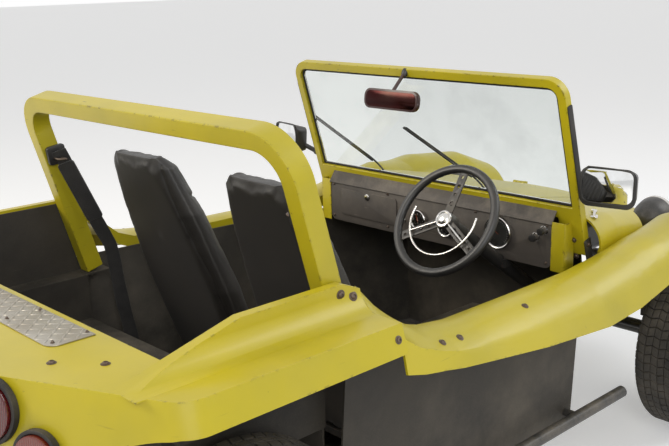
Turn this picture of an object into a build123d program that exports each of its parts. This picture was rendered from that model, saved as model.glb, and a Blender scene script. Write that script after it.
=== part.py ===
from build123d import *
import os
from math import atan, cos, degrees, hypot, pi, radians, sin, sqrt, tan

# Dune buggy, right-hand drive, short wheelbase, in millimetres.
# x runs forward, y to the left, z up. Places along x are given from the rear axle and the
# finished pieces are moved once, so that the origin lies on the ground in the middle.

# Overall plan
wheelbase = 2073
front_overhang = 560
body_half = 800        # outer lip of the fenders, half of the width
rear_overhang = 640
fit = 0.3            # gap left where two pieces seat on each other
running = 0.1        # radial clearance of a pin or shaft
clear = 5.0          # gap round a piece that moves

# Wheels: axle place, half track, tyre radius, tyre width, rim width, how far the disc is set out
wheel_columns = ("x", "half_track", "radius", "width", "rim_width", "disc_out")
front_wheel = dict(zip(wheel_columns, (wheelbase, body_half - 137, 314, 179, 150, 12)))
rear_wheel = dict(zip(wheel_columns, (0, body_half - 93, 335, 245, 205, 8)))
bead_radius = 190
rim_wall = 5
rim_lip = 14
disc_wall = 6
spoke_count = 8
hub_radius = 62
drum_radius = 115
drum_depth = 55
spindle_radius = 14
stud_count = 5

# Body shell
shell = 7            # wall of the moulded body
rail_z = 757
rim_z = 945          # top of the rear quarter
deck_z = 872         # rear deck and fender crease
rear_lip_z = 805     # lower edge of the rear fender
crease_half = body_half - 22
rail_half = body_half - 168     # inner edge of the cockpit rail from the middle
step_x = 384         # where the side panel begins
tail_x = -400        # rear face of the body in the middle
tail_flat_half = body_half - 470
tail_corner_x = -192
tail_bottom_z = 625
tail_lean = 30        # how far the tail runs back towards its lower edge

# Inner tub and floor
well_half = rail_half - 14.5
well_wall = 6
well_floor_z = 560
well_shelf_z = 706     # ledge over the rear wheels that carries the hoop
well_back_x = -104
well_front_x = 352
rear_tub_half = well_half - 67.5
floor_z = 215
floor_wall = 4
foot_front_x = wheelbase - 373
cowl_x = 1400         # where the side panel turns into the front fender
tunnel_half = 85
tunnel_top_z = 385

# Roll hoop
hoop_half = rail_half - 15
hoop_top_z = 1292.5
hoop_back_x = 198
hoop_rake = 0.282    # how far the hoop leans back for each unit of height
hoop_side = 49
hoop_deep = 58
hoop_bend = 128

# Windscreen
screen_half = rail_half - 47
screen_top_z = 1308
screen_top_x = 1275.5
screen_rake = 0.290
screen_tube = 28
screen_sill_top_z = 907
screen_sill = 40
screen_bend = 62
screen_foot_z = 752
glass_wall = 5

# Dash
dash_x = 1376
dash_half = screen_half - 87
dash_top_z = 856
dash_bottom_z = 704
dash_wall = 4

# Seats
seat_out = 277
seat_top_z = 1135
seat_top_x = 372
seat_rake = 0.344
seat_back_low_z = 345
seat_top_wide = 262
seat_low_wide = 424
seat_top_thick = 58
seat_low_thick = 105
cushion_long = 450
cushion_wide = 370
cushion_thick = 120
cushion_low_z = 345

# Steering
wheel_centre = (1100, -300, 885)
column_tilt = 35
column_start = 48      # from the middle of the wheel down the column
column_radius = 22
steering_radius = 172
steering_grip = 13.5
kingpin_out = front_wheel["half_track"] - 148
track_arm = 118
arm_top = 30          # top of the steering arm above the axle

# Lamps
stop_lamp = dict(out=385, z=803, radius=72)
turn_lamp = dict(out=500, z=728, radius=56)
head_lamp = dict(x=wheelbase + 22, out=body_half - 333, z=737, radius=72, foot_back=42)
lamp_foot = 11
lamp_foot_z = 655

os.makedirs("parts", exist_ok=True)
middle_x = (wheelbase + front_overhang - rear_overhang) / 2


def save(node, shape):
    # Moves a piece to the shared origin and writes it.
    solids = [s.translate((-middle_x, 0, 0), transform=True) for s in shape.solids()]
    moved = solids[0] if len(solids) == 1 else Compound(solids)
    moved.label = node
    export_step(moved, f"parts/{node}.step")


def both(shape):
    # The piece and its mirror image on the other side.
    return Compound(children=[shape, mirror(shape, about=Plane.XZ)])


def other_side(shape):
    return mirror(shape, about=Plane.XZ)


def box(x0, x1, y0, y1, z0, z1):
    return Pos((x0 + x1) / 2, (y0 + y1) / 2, (z0 + z1) / 2) * Box(x1 - x0, y1 - y0, z1 - z0)


def rod(start, end, radius):
    # Round bar between two points.
    a, b = Vector(*start), Vector(*end)
    return extrude(Plane(origin=a, z_dir=b - a) * Circle(radius), (b - a).length)


def tube_path(points, bend, radius):
    # Round bar bent through the points with one bend radius.
    path = FilletPolyline(*points, radius=bend)
    start = Plane(origin=path @ 0, z_dir=path % 0)
    return sweep(start * Circle(radius), path=path)


def offset_points(points, wall):
    # Moves each point of an open outline sideways by the wall thickness.
    moved = []
    for i, (y, z) in enumerate(points):
        ya, za = points[max(i - 1, 0)]
        yb, zb = points[min(i + 1, len(points) - 1)]
        run = hypot(yb - ya, zb - za)
        moved.append((y + wall * (zb - za) / run, z - wall * (yb - ya) / run))
    return moved


def outline_edges(x, points, kinds):
    # Lines and arcs through points at one station; an arc uses up three points.
    edges, i = [], 0
    for kind in kinds:
        here = Vector(x, *points[i])
        if kind == "line":
            edges.append(Edge.make_line(here, Vector(x, *points[i + 1])))
            i += 1
        else:
            middle, end = Vector(x, *points[i + 1]), Vector(x, *points[i + 2])
            edges.append(Edge.make_three_point_arc(here, middle, end))
            i += 2
    return edges


def shell_section(x, points, kinds, wall):
    # Closed thin-walled section: the outline, its offset, and the two end caps.
    inner = offset_points(points, wall)
    edges = outline_edges(x, points, kinds)
    edges.append(Edge.make_line(Vector(x, *points[-1]), Vector(x, *inner[-1])))
    edges += outline_edges(x, inner[::-1], kinds[::-1])
    edges.append(Edge.make_line(Vector(x, *inner[0]), Vector(x, *points[0])))
    return Wire(edges)


# Body

def between(share):
    # Place between the cowl and the front axle.
    return cowl_x + share * (wheelbase - cowl_x)


# Side panel and front fender, left side: cockpit edge, crown, crease and lip, each as a distance
# in from the body's half width and a height, and the depth of the inner flange
side_columns = ("x", "edge_in", "edge_z", "mid_in", "mid_z", "fold_in", "fold_z", "lip_in", "lip_z", "flange")
side_stations = [
    (step_x + fit, 168, 925, 104, 868, 22, 836, 3, 752, 42),
    (445, 168, 862, 94, 830, 18, 795, 2, 735, 42),
    (520, 168, 797, 90, 796, 16, 766, 1, 722, 42),
    (580, 168, rail_z + 16, 89, 784, 15, 749, 0, 710, 42),
    (690, 168, rail_z + 2, 88, 771, 15, 730, 0, 694, 42),
    (930, 168, rail_z, 88, 762, 15, 706, 0, 660, 42),
    (1230, 168, rail_z, 88, 757, 15, 684, 0, 632, 42),
    (cowl_x, 178, 762, 100, 774, 14, 700, 0, 643, 42),
    (between(0.27), 198, 768, 110, 806, 12, 732, 0, 680, 42),
    (between(0.61), 230, 735, 125, 836, 10, 780, 0, 734, 30),
    (between(0.87), 252, 655, 172, 796, 10, 799, 1, 756, 12),
    (wheelbase, 270, 655, 184, 805, 12, 808, 2, 766, 12),
    (wheelbase + 247, 300, 640, 204, 794, 24, 776, 13, 736, 12),
    (wheelbase + 407, 316, 596, 222, 735, 58, 702, 47, 662, 12),
    (wheelbase + 497, 328, 534, 190, 622, 100, 612, 90, 580, 12),
]


def side_body():
    sections = []
    for row in side_stations:
        s = dict(zip(side_columns, row))
        edge_y = body_half - s["edge_in"]
        outline = [(edge_y, s["edge_z"] - s["flange"]), (edge_y, s["edge_z"]),
                   (body_half - s["mid_in"], s["mid_z"]), (body_half - s["fold_in"], s["fold_z"]),
                   (body_half - s["lip_in"], s["lip_z"])]
        sections.append(shell_section(s["x"], outline, ("line", "arc", "line"), shell))
    return Solid.make_loft(sections, ruled=True)


def plan_face(z, half, tail, corner):
    # Plan of the rear body at one height: straight sides, slanted tail faces, rounded corners.
    corners = [(step_x, -half), (corner, -half), (tail, -tail_flat_half),
               (tail, tail_flat_half), (corner, half), (step_x, half)]
    face = make_face(Polyline(*corners, close=True).edges())
    outer = [v for v in face.vertices() if abs(v.X - corner) < 1]
    face = fillet(outer, 75)
    inner = [v for v in face.vertices() if abs(v.X - tail) < 1]
    return Plane.XY.offset(z) * fillet(inner, 130)


def fender_block(inset):
    # Solid of the rear fenders and deck; the inset gives the hollow inside it.
    slope = (body_half - crease_half) / (deck_z - rear_lip_z)
    drop = deck_z - tail_bottom_z
    top = plan_face(deck_z - inset, crease_half - inset, tail_x + inset, tail_corner_x + inset)
    spread = slope * drop
    low = plan_face(tail_bottom_z, crease_half - inset + spread, tail_x + inset - tail_lean,
                    tail_corner_x + inset - tail_lean)
    return loft([top, low])


rim_wide = 26        # rolled rim along the top of the rear quarter
scoop_radius = 55
rim_start_x = 40     # where the rim starts to fall to the rear deck
rim_end_x = -250


def rim_prism(y0, y1):
    # Block on the left whose top falls to the deck at the back, as the rim does.
    outline = [(rim_end_x, deck_z - 30), (rim_end_x, deck_z), (rim_start_x, rim_z),
               (step_x - 54, rim_z), (step_x, rim_z - 23), (step_x, deck_z - 30)]
    face = make_face(Polyline(*outline, close=True).edges())
    return extrude(Plane.XZ.offset(-y1) * face, y1 - y0)


def rear_rim():
    # Upstand on each side of the rear well.
    inner = rail_half - 8
    return both(rim_prism(inner, inner + rim_wide))


def rear_scoop():
    # Concave flank between the rim and the rear fender, under the same falling line.
    start = rail_half - 8 + rim_wide
    end = start + scoop_radius
    face = make_face([
        Edge.make_line((0, start - 2, deck_z - 3), (0, start - 2, rim_z)),
        Edge.make_line((0, start - 2, rim_z), (0, start, rim_z)),
        Edge.make_three_point_arc((0, start, rim_z), (0, start + 0.27 * scoop_radius, deck_z + 19), (0, end, deck_z)),
        Edge.make_line((0, end, deck_z), (0, end, deck_z - 3)),
        Edge.make_line((0, end, deck_z - 3), (0, start - 2, deck_z - 3))])
    flank = Pos(rim_end_x, 0, 0) * extrude(face, step_x - rim_end_x, dir=(1, 0, 0))
    return both(flank & rim_prism(start - 5, end + 5))


def rear_body():
    body = fender_block(0) + rear_rim() + rear_scoop()
    hollow = fender_block(shell)
    body -= hollow
    well = box(well_back_x, step_x + 1, -rail_half + 8, rail_half - 8, 500, rim_z + 50)
    body -= well
    body -= box(step_x - shell, step_x + 1, -body_half, body_half, 500, rear_lip_z)
    arch = make_face([
        Edge.make_line((step_x + 5, 500), (step_x + 5, rear_lip_z)),
        Edge.make_line((step_x + 5, rear_lip_z), (-205, rear_lip_z)),
        Edge.make_three_point_arc((-205, rear_lip_z), (-262, 775), (-300, 690)),
        Edge.make_line((-300, 690), (-322, 500)),
        Edge.make_line((-322, 500), (step_x + 5, 500))])
    body -= extrude(Plane.XZ * arch, 1000, both=True)
    return body


# Nose: curl of the shoulder, edge of the top and its middle, at the places of the side table
nose_columns = ("x", "curl_in", "curl_z", "top_in", "top_z", "mid_z")
nose_stations = [
    (1230, 160, 864, 195, 903, 910),
    (cowl_x, 180, 847, 225, 883, 896),
    (between(0.27), 202, 830, 258, 862, 884),
    (between(0.61), 248, 796, 322, 824, 846),
    (between(0.87), 348, 658, 444, 762, 806),
    (wheelbase, 356, 656, 450, 742, 782),
    (wheelbase + 247, 380, 640, 458, 680, 702),
    (wheelbase + 407, 388, 600, 458, 616, 625),
    (wheelbase + 497, 390, 536, 460, 540, 543),
]
nose_seam = 0.5


def nose_shell():
    sides = {row[0]: dict(zip(side_columns, row)) for row in side_stations}
    sections = []
    for row in nose_stations:
        s = dict(zip(nose_columns, row))
        side_y = body_half - sides[s["x"]]["edge_in"] - nose_seam
        side_z = sides[s["x"]]["edge_z"]
        half = [(side_y, side_z - 0.7 * sides[s["x"]]["flange"]), (side_y, side_z),
                (body_half - s["curl_in"], s["curl_z"]), (body_half - s["top_in"], s["top_z"])]
        outline = [(-y, z) for y, z in half] + [(0, s["mid_z"])] + half[::-1]
        kinds = ("line", "arc", "arc", "arc", "line")
        sections.append(shell_section(s["x"], outline, kinds, shell))
    return Solid.make_loft(sections, ruled=True)


def behind_screen():
    # Everything behind the front face of the windscreen frame.
    plane = windscreen_plane().offset(screen_tube + fit)
    return extrude(plane * Rectangle(2 * body_half, 2 * screen_top_z), -screen_top_x / 2)


def roll_hoop():
    lean = atan(hoop_rake)
    plane = Plane(origin=(hoop_back_x, 0, hoop_top_z), x_dir=(0, 1, 0),
                  z_dir=(cos(lean), 0, sin(lean)))
    drop = (hoop_top_z - well_shelf_z - fit) / cos(lean)
    outer = Pos(0, -drop / 2) * Rectangle(2 * hoop_half, drop)
    outer = fillet([v for v in outer.vertices() if v.Y > -1], hoop_bend)
    open_half = hoop_half - hoop_side
    inner = Pos(0, -drop / 2 - hoop_side) * Rectangle(2 * open_half, drop)
    inner = fillet([v for v in inner.vertices() if v.Y > -hoop_side - 1], hoop_bend - hoop_side)
    frame = extrude(plane * (outer - inner), hoop_deep)
    return frame


hood_front_x = wheelbase + 160
hood_rear_x = cowl_x + 70
hood_half = body_half - 475
hinge_out = hood_half - 85
hinge_long = 60
hinge_radius = 7
hinge_pin = 3


def hood_prism(grow):
    # Upright block with rounded corners that cuts the hood out of the nose.
    plan = Rectangle(hood_front_x - hood_rear_x + 2 * grow, 2 * (hood_half + grow))
    plan = fillet(plan.vertices(), 60 + grow)
    return Pos((hood_front_x + hood_rear_x) / 2, 0, 300) * extrude(plan, 900)


def nose_top_z(x):
    # Height of the nose on the centre line, between the stations beside x.
    rows = [dict(zip(nose_columns, row)) for row in nose_stations]
    for a, b in zip(rows, rows[1:]):
        if a["x"] <= x <= b["x"]:
            share = (x - a["x"]) / (b["x"] - a["x"])
            return a["mid_z"] + share * (b["mid_z"] - a["mid_z"])
    return rows[-1]["mid_z"]


hinge_x = hood_front_x + clear / 2
hinge_z = nose_top_z(hinge_x) + hinge_radius + 4


def hinge_barrel(y, length, bore):
    barrel = Pos(hinge_x, y, hinge_z) * Rot(90, 0, 0) * Cylinder(hinge_radius, length)
    if bore:
        barrel -= Pos(hinge_x, y, hinge_z) * Rot(90, 0, 0) * Cylinder(bore, length + 2)
    return barrel


def hood():
    lid = nose_shell() & hood_prism(0)
    third = hinge_long / 3
    for side in (-1, 1):
        y = side * hinge_out
        for end in (-1, 1):
            lid += hinge_barrel(y + end * third, third - 2 * fit, 0)
            leaf = box(hinge_x - 45, hinge_x - 2, y + end * third - third / 2 + fit,
                       y + end * third + third / 2 - fit, hinge_z - 14, hinge_z - 3)
            lid += leaf
        pin = Pos(hinge_x, y, hinge_z) * Rot(90, 0, 0) * Cylinder(hinge_pin, hinge_long - 4)
        lid += pin
    return lid


def nose():
    body = nose_shell() - hood_prism(clear) - behind_screen()
    lamp = head_lamp
    for side in (-1, 1):
        body -= Pos(lamp["x"] - lamp["foot_back"], side * lamp["out"], lamp_foot_z) * Cylinder(lamp_foot + fit, 60)
    third = hinge_long / 3
    for side in (-1, 1):
        y = side * hinge_out
        leaf = box(hinge_x + 2, hinge_x + 45, y - third / 2 + fit, y + third / 2 - fit,
                   hinge_z - 36, hinge_z - 3)
        knuckle = hinge_barrel(y, third - 2 * fit, 0)
        body += leaf + knuckle
        body -= Pos(hinge_x, y, hinge_z) * Rot(90, 0, 0) * Cylinder(hinge_pin + running, hinge_long)
    return body


def floor_pan():
    half = tub_low_half - tub_wall - fit
    foot_half = foot_low_half - tub_wall - 2
    plan = Polyline((well_front_x + fit, -half), (foot_start_x, -half), (foot_front_x - 8, -foot_half),
                    (foot_front_x - 8, foot_half), (foot_start_x, half), (well_front_x + fit, half),
                    close=True)
    plate = Pos(0, 0, floor_z) * extrude(make_face(plan.edges()), floor_wall)
    tunnel = box(well_front_x + fit, foot_front_x - 8, -tunnel_half, tunnel_half, floor_z, tunnel_top_z)
    long_edges = [e for e in tunnel.edges().filter_by(Axis.X) if e.center().Z > tunnel_top_z - 1]
    tunnel = fillet(long_edges, 45)
    hollow = box(well_front_x - 1, foot_front_x, -tunnel_half + floor_wall, tunnel_half - floor_wall,
                 floor_z - 1, tunnel_top_z - 40)
    return plate + tunnel - hollow


tub_low_half = rail_half - 44
tub_wall = 6
foot_low_half = rail_half - 247
foot_top_half = foot_low_half + 17
foot_start_x = cowl_x - 25
front_top_z = rail_z + 33
hoop_pad_long = 88


def tub():
    # Side walls of the cockpit, narrowing round the feet, and the bulkhead in front of them.
    top_half = rail_half - fit
    stations = ((well_front_x + fit, top_half, rail_z - 8, tub_low_half, floor_z),
                (foot_start_x, rail_half - 19, rail_z - 30, tub_low_half, floor_z),
                (foot_front_x, foot_top_half, 690, foot_low_half, floor_z + 20))
    sections = []
    for x, top_y, top_z, low_y, low_z in stations:
        corners = [(x, top_y, top_z), (x, low_y, low_z), (x, low_y - tub_wall, low_z),
                   (x, top_y - tub_wall, top_z)]
        sections.append(Wire.make_polygon([Vector(*c) for c in corners], close=True))
    wall = Solid.make_loft(sections, ruled=True)
    top_half = foot_top_half + 28
    bulkhead = make_face(Polyline((-foot_low_half, floor_z + 20), (-foot_top_half, 690), (-top_half, front_top_z),
                                  (top_half, front_top_z), (foot_top_half, 690), (foot_low_half, floor_z + 20),
                                  close=True).edges())
    front = extrude(Plane.YZ.offset(foot_front_x - tub_wall) * bulkhead, tub_wall)
    pad = box(well_front_x + 1, well_front_x + hoop_pad_long, hoop_half - hoop_side - 8, hoop_half + 8,
              well_shelf_z - well_wall, well_shelf_z)
    wall += pad
    return wall + other_side(wall) + front


def rear_tub():
    # Luggage well behind the seats: stepped over the wheels, with a back wall and a front bulkhead.
    half = [(well_half, rim_z - 8), (well_half, well_shelf_z), (rear_tub_half, well_shelf_z),
            (rear_tub_half, well_floor_z)]
    inner = half + [(-y, z) for y, z in half[::-1]]
    wall = well_wall
    outer_half = [(well_half + wall, rim_z - 8), (well_half + wall, well_shelf_z - wall),
                  (rear_tub_half + wall, well_shelf_z - wall), (rear_tub_half + wall, well_floor_z - wall)]
    outer = outer_half + [(-y, z) for y, z in outer_half[::-1]]
    section = make_face(Polyline(*(inner + outer[::-1]), close=True).edges())
    long = well_front_x - well_back_x
    well = extrude(Plane.YZ.offset(well_back_x) * section, long)
    well -= rim_cutter()
    back = make_face(Polyline(*outer, close=True).edges())
    well += extrude(Plane.YZ.offset(well_back_x - wall) * back, wall) - box(
        well_back_x - 20, well_back_x + 1, -700, 700, deck_z - shell - fit, rim_z)
    well += box(well_front_x - wall, well_front_x, -rear_tub_half, rear_tub_half,
                floor_z, well_floor_z - wall + 1)
    return well


def rim_cutter():
    # What lies above the falling rim at the back of the well.
    outline = [(well_back_x - 50, rim_z + 50), (well_back_x - 50, deck_z - shell - fit),
               (well_back_x + 1, deck_z - shell - fit + 20), (rim_start_x, rim_z - 10), (rim_start_x + 40, rim_z + 50)]
    return extrude(Plane.XZ * make_face(Polyline(*outline, close=True).edges()), 800, both=True)


horn_out = 215
horn_low_z = 240
engine_front_x = -148
engine_z = 329
barrel_x = (-217, -345)
barrel_radius = 62
barrel_fins = 7
barrel_core = 46
pulley_x = -398
torsion_x = 296
torsion_z = 330
torsion_half = rear_wheel["half_track"] - 245
arm_out = torsion_half + 28
shock_out = torsion_half - 22
torsion_radius = 46
shock_bar_z = 490
shock_bar_x = -62
tube_radius = 21
beam_x = wheelbase + 128
beam_half = kingpin_out - 67
beam_radius = 27
beam_gap = 62        # each beam tube above or below the axle's height
frame_top_z = 335
bumper_z = 470


def chassis_frame():
    # Frame head in front, torsion tube, horns and shock bar behind.
    head = box(foot_front_x + fit, beam_x - beam_radius - fit, -105, 105, floor_z + 25, frame_top_z)
    tube = Pos(torsion_x, 0, torsion_z) * Rot(90, 0, 0) * Cylinder(torsion_radius, 2 * torsion_half)
    spine = box(torsion_x, well_front_x - well_wall - fit, -tunnel_half, tunnel_half,
                floor_z, torsion_z + 30)
    frame = tube + spine
    for side in (-1, 1):
        y = side * horn_out
        frame += box(-140, torsion_x, y - 22, y + 22, horn_low_z, horn_low_z + 57)
        frame += box(shock_bar_x - 22, shock_bar_x + 22, y - 22, y + 22, horn_low_z + 10, shock_bar_z)
    frame += Pos(shock_bar_x, 0, shock_bar_z) * Rot(90, 0, 0) * Cylinder(tube_radius, 2 * arm_out)
    return Compound(children=[head, frame])


def deck_plate():
    plan = Rectangle(110, 690)
    plan = fillet([v for v in plan.vertices() if v.X < 0], 28)
    return Pos(-177, 0, deck_z + fit) * extrude(plan, 3)


def windscreen_plane():
    lean = atan(screen_rake)
    return Plane(origin=(screen_top_x, 0, screen_top_z), x_dir=(0, 1, 0),
                 z_dir=(cos(lean), 0, sin(lean)))


def screen_drop(z):
    # Distance down the raked plane to a height.
    return (screen_top_z - z) / cos(atan(screen_rake))


def screen_outline(half, top, bottom, bend):
    face = Pos(0, -(top + bottom) / 2) * Rectangle(2 * half, bottom - top)
    if bend:
        face = fillet([v for v in face.vertices() if v.Y > -(top + bottom) / 2], bend)
    return face


def windscreen_frame():
    sill_low = screen_drop(screen_sill_top_z - screen_sill)
    outer = screen_outline(screen_half, 0, screen_drop(screen_foot_z), screen_bend)
    hole = screen_outline(screen_half - screen_tube, screen_tube, screen_drop(screen_sill_top_z),
                          screen_bend - screen_tube)
    below = screen_outline(dash_half + 2, sill_low, screen_drop(screen_foot_z) + 10, 0)
    return extrude(windscreen_plane() * (outer - hole - below), screen_tube)


def windscreen_seal():
    outer = screen_outline(screen_half - screen_tube - fit, screen_tube + fit,
                           screen_drop(screen_sill_top_z) - fit, screen_bend - screen_tube - fit)
    inner = offset(outer, amount=-9)
    return extrude(windscreen_plane().offset(8) * (outer - inner), 12)


def windscreen_glass():
    outer = screen_outline(screen_half - screen_tube - fit, screen_tube + fit,
                           screen_drop(screen_sill_top_z) - fit, screen_bend - screen_tube - fit)
    pane = offset(outer, amount=-9 - fit)
    return extrude(windscreen_plane().offset(11.5) * pane, glass_wall)


def dashboard():
    plate = Pos(0, (dash_top_z + dash_bottom_z) / 2) * Rectangle(2 * dash_half, dash_top_z - dash_bottom_z)
    plate = fillet(plate.vertices(), 26)
    panel = extrude(Plane.YZ.offset(dash_x) * plate, dash_wall)
    dial_columns = ("y", "z", "radius", "proud")
    dials = [(-300, 792, 52, 14), (-78, 772, 34, 12), (45, 776, 34, 12), (-470, 826, 9, 16), (-440, 800, 9, 16)]
    for row in dials:
        d = dict(zip(dial_columns, row))
        dial = Plane.YZ.offset(dash_x - d["proud"]) * Pos(d["y"], d["z"]) * Circle(d["radius"])
        panel += extrude(dial, d["proud"] + 1)
    for side in (-1, 1):
        ends = sorted((side * (dash_half - 6), side * (dash_half + 2 - fit)))
        panel += box(dash_x, dash_x + 64, *ends, dash_bottom_z + 66, dash_top_z - 28)
    tube = Plane(origin=steering_point(column_start), x_dir=(0, 1, 0), z_dir=column_dir)
    return panel - tube * extrude(Circle(column_radius + fit), column_long)


def tail_face_x(y, z):
    # Place of the slanted tail face, which leans back and widens towards its lower edge.
    half = crease_half + (deck_z - z) * (body_half - crease_half) / (deck_z - rear_lip_z)
    slant = (tail_corner_x - tail_x) / (half - tail_flat_half)
    return tail_x + (y - tail_flat_half) * slant - (deck_z - z) * tail_lean / (deck_z - tail_bottom_z)


def lamp_plane(lamp):
    # Point on the tail face at a lamp, and the way out of the body there.
    y, z = lamp["out"], lamp["z"]
    slant = (tail_face_x(y + 1, z) - tail_face_x(y - 1, z)) / 2
    lean = (tail_face_x(y, z + 1) - tail_face_x(y, z - 1)) / 2
    return Vector(tail_face_x(y, z), y, z), Vector(-1, slant, lean).normalized()


def tail_lamp(lamp, out, depth, radius):
    point, normal = lamp_plane(lamp)
    return extrude(Plane(origin=point + normal * out, z_dir=normal) * Circle(radius), depth)


def tail_lamp_bezels():
    bezels = []
    for lamp in (stop_lamp, turn_lamp):
        ring = tail_lamp(lamp, 0.7, 18, lamp["radius"]) - tail_lamp(lamp, 6, 20, lamp["radius"] - 9)
        bezels.append(ring)
    pieces = bezels + [other_side(b) for b in bezels]
    return Compound(children=pieces)


def lamp_lens(lamp):
    return both(tail_lamp(lamp, 6 + fit, 20, lamp["radius"] - 9 - fit))


def head_lamp_buckets():
    # Round pods on short feet that pass into the nose.
    lamp = head_lamp
    r = lamp["radius"]
    profile = make_face([
        Edge.make_line((-30, 0), (-30, r - 6)),
        Edge.make_line((-30, r - 6), (0, r - 6)),
        Edge.make_line((0, r - 6), (0, r)),
        Edge.make_line((0, r), (-25, r)),
        Edge.make_line((-25, r), (-60, 0.88 * r)),
        Edge.make_line((-60, 0.88 * r), (-90, 0.6 * r)),
        Edge.make_line((-90, 0.6 * r), (-106, 0.25 * r)),
        Edge.make_line((-106, 0.25 * r), (-108, 0)),
        Edge.make_line((-108, 0), (-30, 0))])
    pod = Pos(lamp["x"], lamp["out"], lamp["z"]) * revolve(profile, Axis.X)
    foot = Pos(lamp["x"] - lamp["foot_back"], lamp["out"], lamp_foot_z + 8) * Cylinder(lamp_foot, 44)
    return both(pod + foot)


def head_lamp_lenses():
    lamp = head_lamp
    r = lamp["radius"] - 6 - fit
    profile = Polyline((-29, 0), (-29, r), (-3, r), (3, r - 6), (6, r - 22), (6, 0), close=True)
    lens = revolve(make_face(profile.edges()), Axis.X)
    return both(Pos(lamp["x"], lamp["out"], lamp["z"]) * lens)


def front_bumper():
    # Two hoops of tube, one above the other, from the front axle's upper beam.
    x, low_z = wheelbase + front_overhang - tube_radius, front_wheel["radius"] + beam_gap
    start = beam_x + beam_radius + fit
    bumper = tube_path([(start, -300, low_z), (x, -300, low_z), (x, 300, low_z), (start, 300, low_z)],
                       70, tube_radius)
    bumper += tube_path([(start + 30, -300, bumper_z), (x, -300, bumper_z), (x, 300, bumper_z),
                         (start + 30, 300, bumper_z)], 70, tube_radius)
    for side in (-1, 1):
        bumper += rod((x, side * 190, low_z), (x, side * 190, bumper_z), 15)
        bumper += rod((start + 50, side * 300, low_z), (start + 50, side * 300, bumper_z), 15)
    return bumper


def rear_bumper():
    x = -rear_overhang + tube_radius
    z = shock_bar_z
    path = [(shock_bar_x - tube_radius - fit, -400, z), (x, -400, z), (x, 400, z),
            (shock_bar_x - tube_radius - fit, 400, z)]
    return tube_path(path, 90, tube_radius)


def side_bars():
    y, z = tub_low_half + 52, 262
    bars = rod((420, y, z), (foot_start_x + 225, y, z), 19)
    for x in (520, 930, foot_start_x - 35):
        bars += rod((x, y, z), (x, tub_low_half + 5.3, z), 13)
    return both(bars)


def seat_back(side):
    # Reclined padded back, narrower and thinner towards the top.
    rows = ((seat_back_low_z, 360, 100), (470, 400, seat_low_thick), (700, seat_low_wide, 92),
            (960, 372, 74), (seat_top_z - 30, 300, seat_top_thick), (seat_top_z, seat_top_wide - 40, 40))
    faces = []
    for z, wide, thick in rows:
        x = seat_top_x + seat_rake * (seat_top_z - z)
        face = Rectangle(thick, wide)
        face = fillet(face.vertices(), thick * 0.42)
        faces.append(Pos(x + thick / 2, side * seat_out, z) * face)
    return loft(faces, ruled=True)


def seat_base(side):
    x0 = seat_top_x + seat_rake * (seat_top_z - cushion_low_z) + seat_low_thick + 5
    pad = box(x0, x0 + cushion_long, side * seat_out - cushion_wide / 2, side * seat_out + cushion_wide / 2,
              cushion_low_z, cushion_low_z + cushion_thick)
    return fillet(pad.edges().filter_by(Axis.Z) + pad.edges().group_by(Axis.Z)[-1], 28)


def seat_frames():
    frames = []
    for side in (-1, 1):
        x0 = seat_top_x + seat_rake * (seat_top_z - cushion_low_z) + 20
        y = side * seat_out
        base = box(x0 - 18, x0 + 480, y - 185, y + 185, cushion_low_z - 22, cushion_low_z - fit)
        for dy in (-150, 150):
            base += box(x0 + 30, x0 + 490, y + dy - 14, y + dy + 14, floor_z + floor_wall + fit,
                        floor_z + floor_wall + 22)
            for dx in (60, 430):
                base += box(x0 + dx, x0 + dx + 20, y + dy - 10, y + dy + 10,
                            floor_z + floor_wall + 10, cushion_low_z - 10)
        frames.append(base)
    return Compound(children=frames)


def hoop_x(z):
    # Back of the hoop at a height.
    return hoop_back_x + hoop_rake * (hoop_top_z - z)


def seat_belts():
    # Guide block on the hoop, the webbing beside the seat and its anchor on the floor.
    top = hoop_top_z - 174.5
    route = [(hoop_x(top) + 41, top), (hoop_x(rail_z + 33) + 96, rail_z + 33), (520, floor_z + 17)]
    half_thick = 2
    outline = [(x - half_thick, z) for x, z in route] + [(x + half_thick, z) for x, z in route[::-1]]
    belt_out = hoop_half - hoop_side - 2
    strap = extrude(Plane.XZ.offset(-belt_out) * make_face(Polyline(*outline, close=True).edges()), 44)
    guide = box(hoop_x(top) + 9, hoop_x(top) + 75, belt_out - 12, hoop_half - hoop_side - fit, top - 46, top + 16)
    anchor = box(500, 540, belt_out - 48, belt_out - 4, floor_z + floor_wall + fit, floor_z + 21)
    return both(strap + guide + anchor)


def interior_mirror():
    x, z = screen_top_x, screen_top_z
    stalk = rod((x + 0.4, 25, z - 13.5), (x - 53.5, 25, z - 66), 6)
    plane = Plane(origin=(x - 47.5, 25, z - 96), x_dir=(0, 1, 0), z_dir=(-1, 0, 0.12))
    head = extrude(plane * RectangleRounded(235, 66, 26), 22)
    head = fillet(head.faces().sort_by(Axis.X)[-1].edges(), 9)
    return stalk + head


def door_mirrors():
    z = screen_sill_top_z + 45
    x = screen_top_x + screen_rake * (screen_top_z - z) + screen_tube / 2
    arm = rod((x, screen_half + 6, z), (x - 31, screen_half + 65, z + 33), 9)
    arm += rod((x, screen_half + fit, z), (x, screen_half + 12, z), 12)
    plane = Plane(origin=(x - 55, screen_half + 121, z + 50), x_dir=(0.2, 0.98, 0), z_dir=(-0.98, 0.2, 0.06))
    head = extrude(plane * RectangleRounded(168, 116, 30), -50, taper=14)
    return both(arm + head)


def mirrors():
    return Compound(children=[interior_mirror(), door_mirrors()])


def bumpers():
    return Compound(children=[front_bumper(), rear_bumper()])


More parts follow.
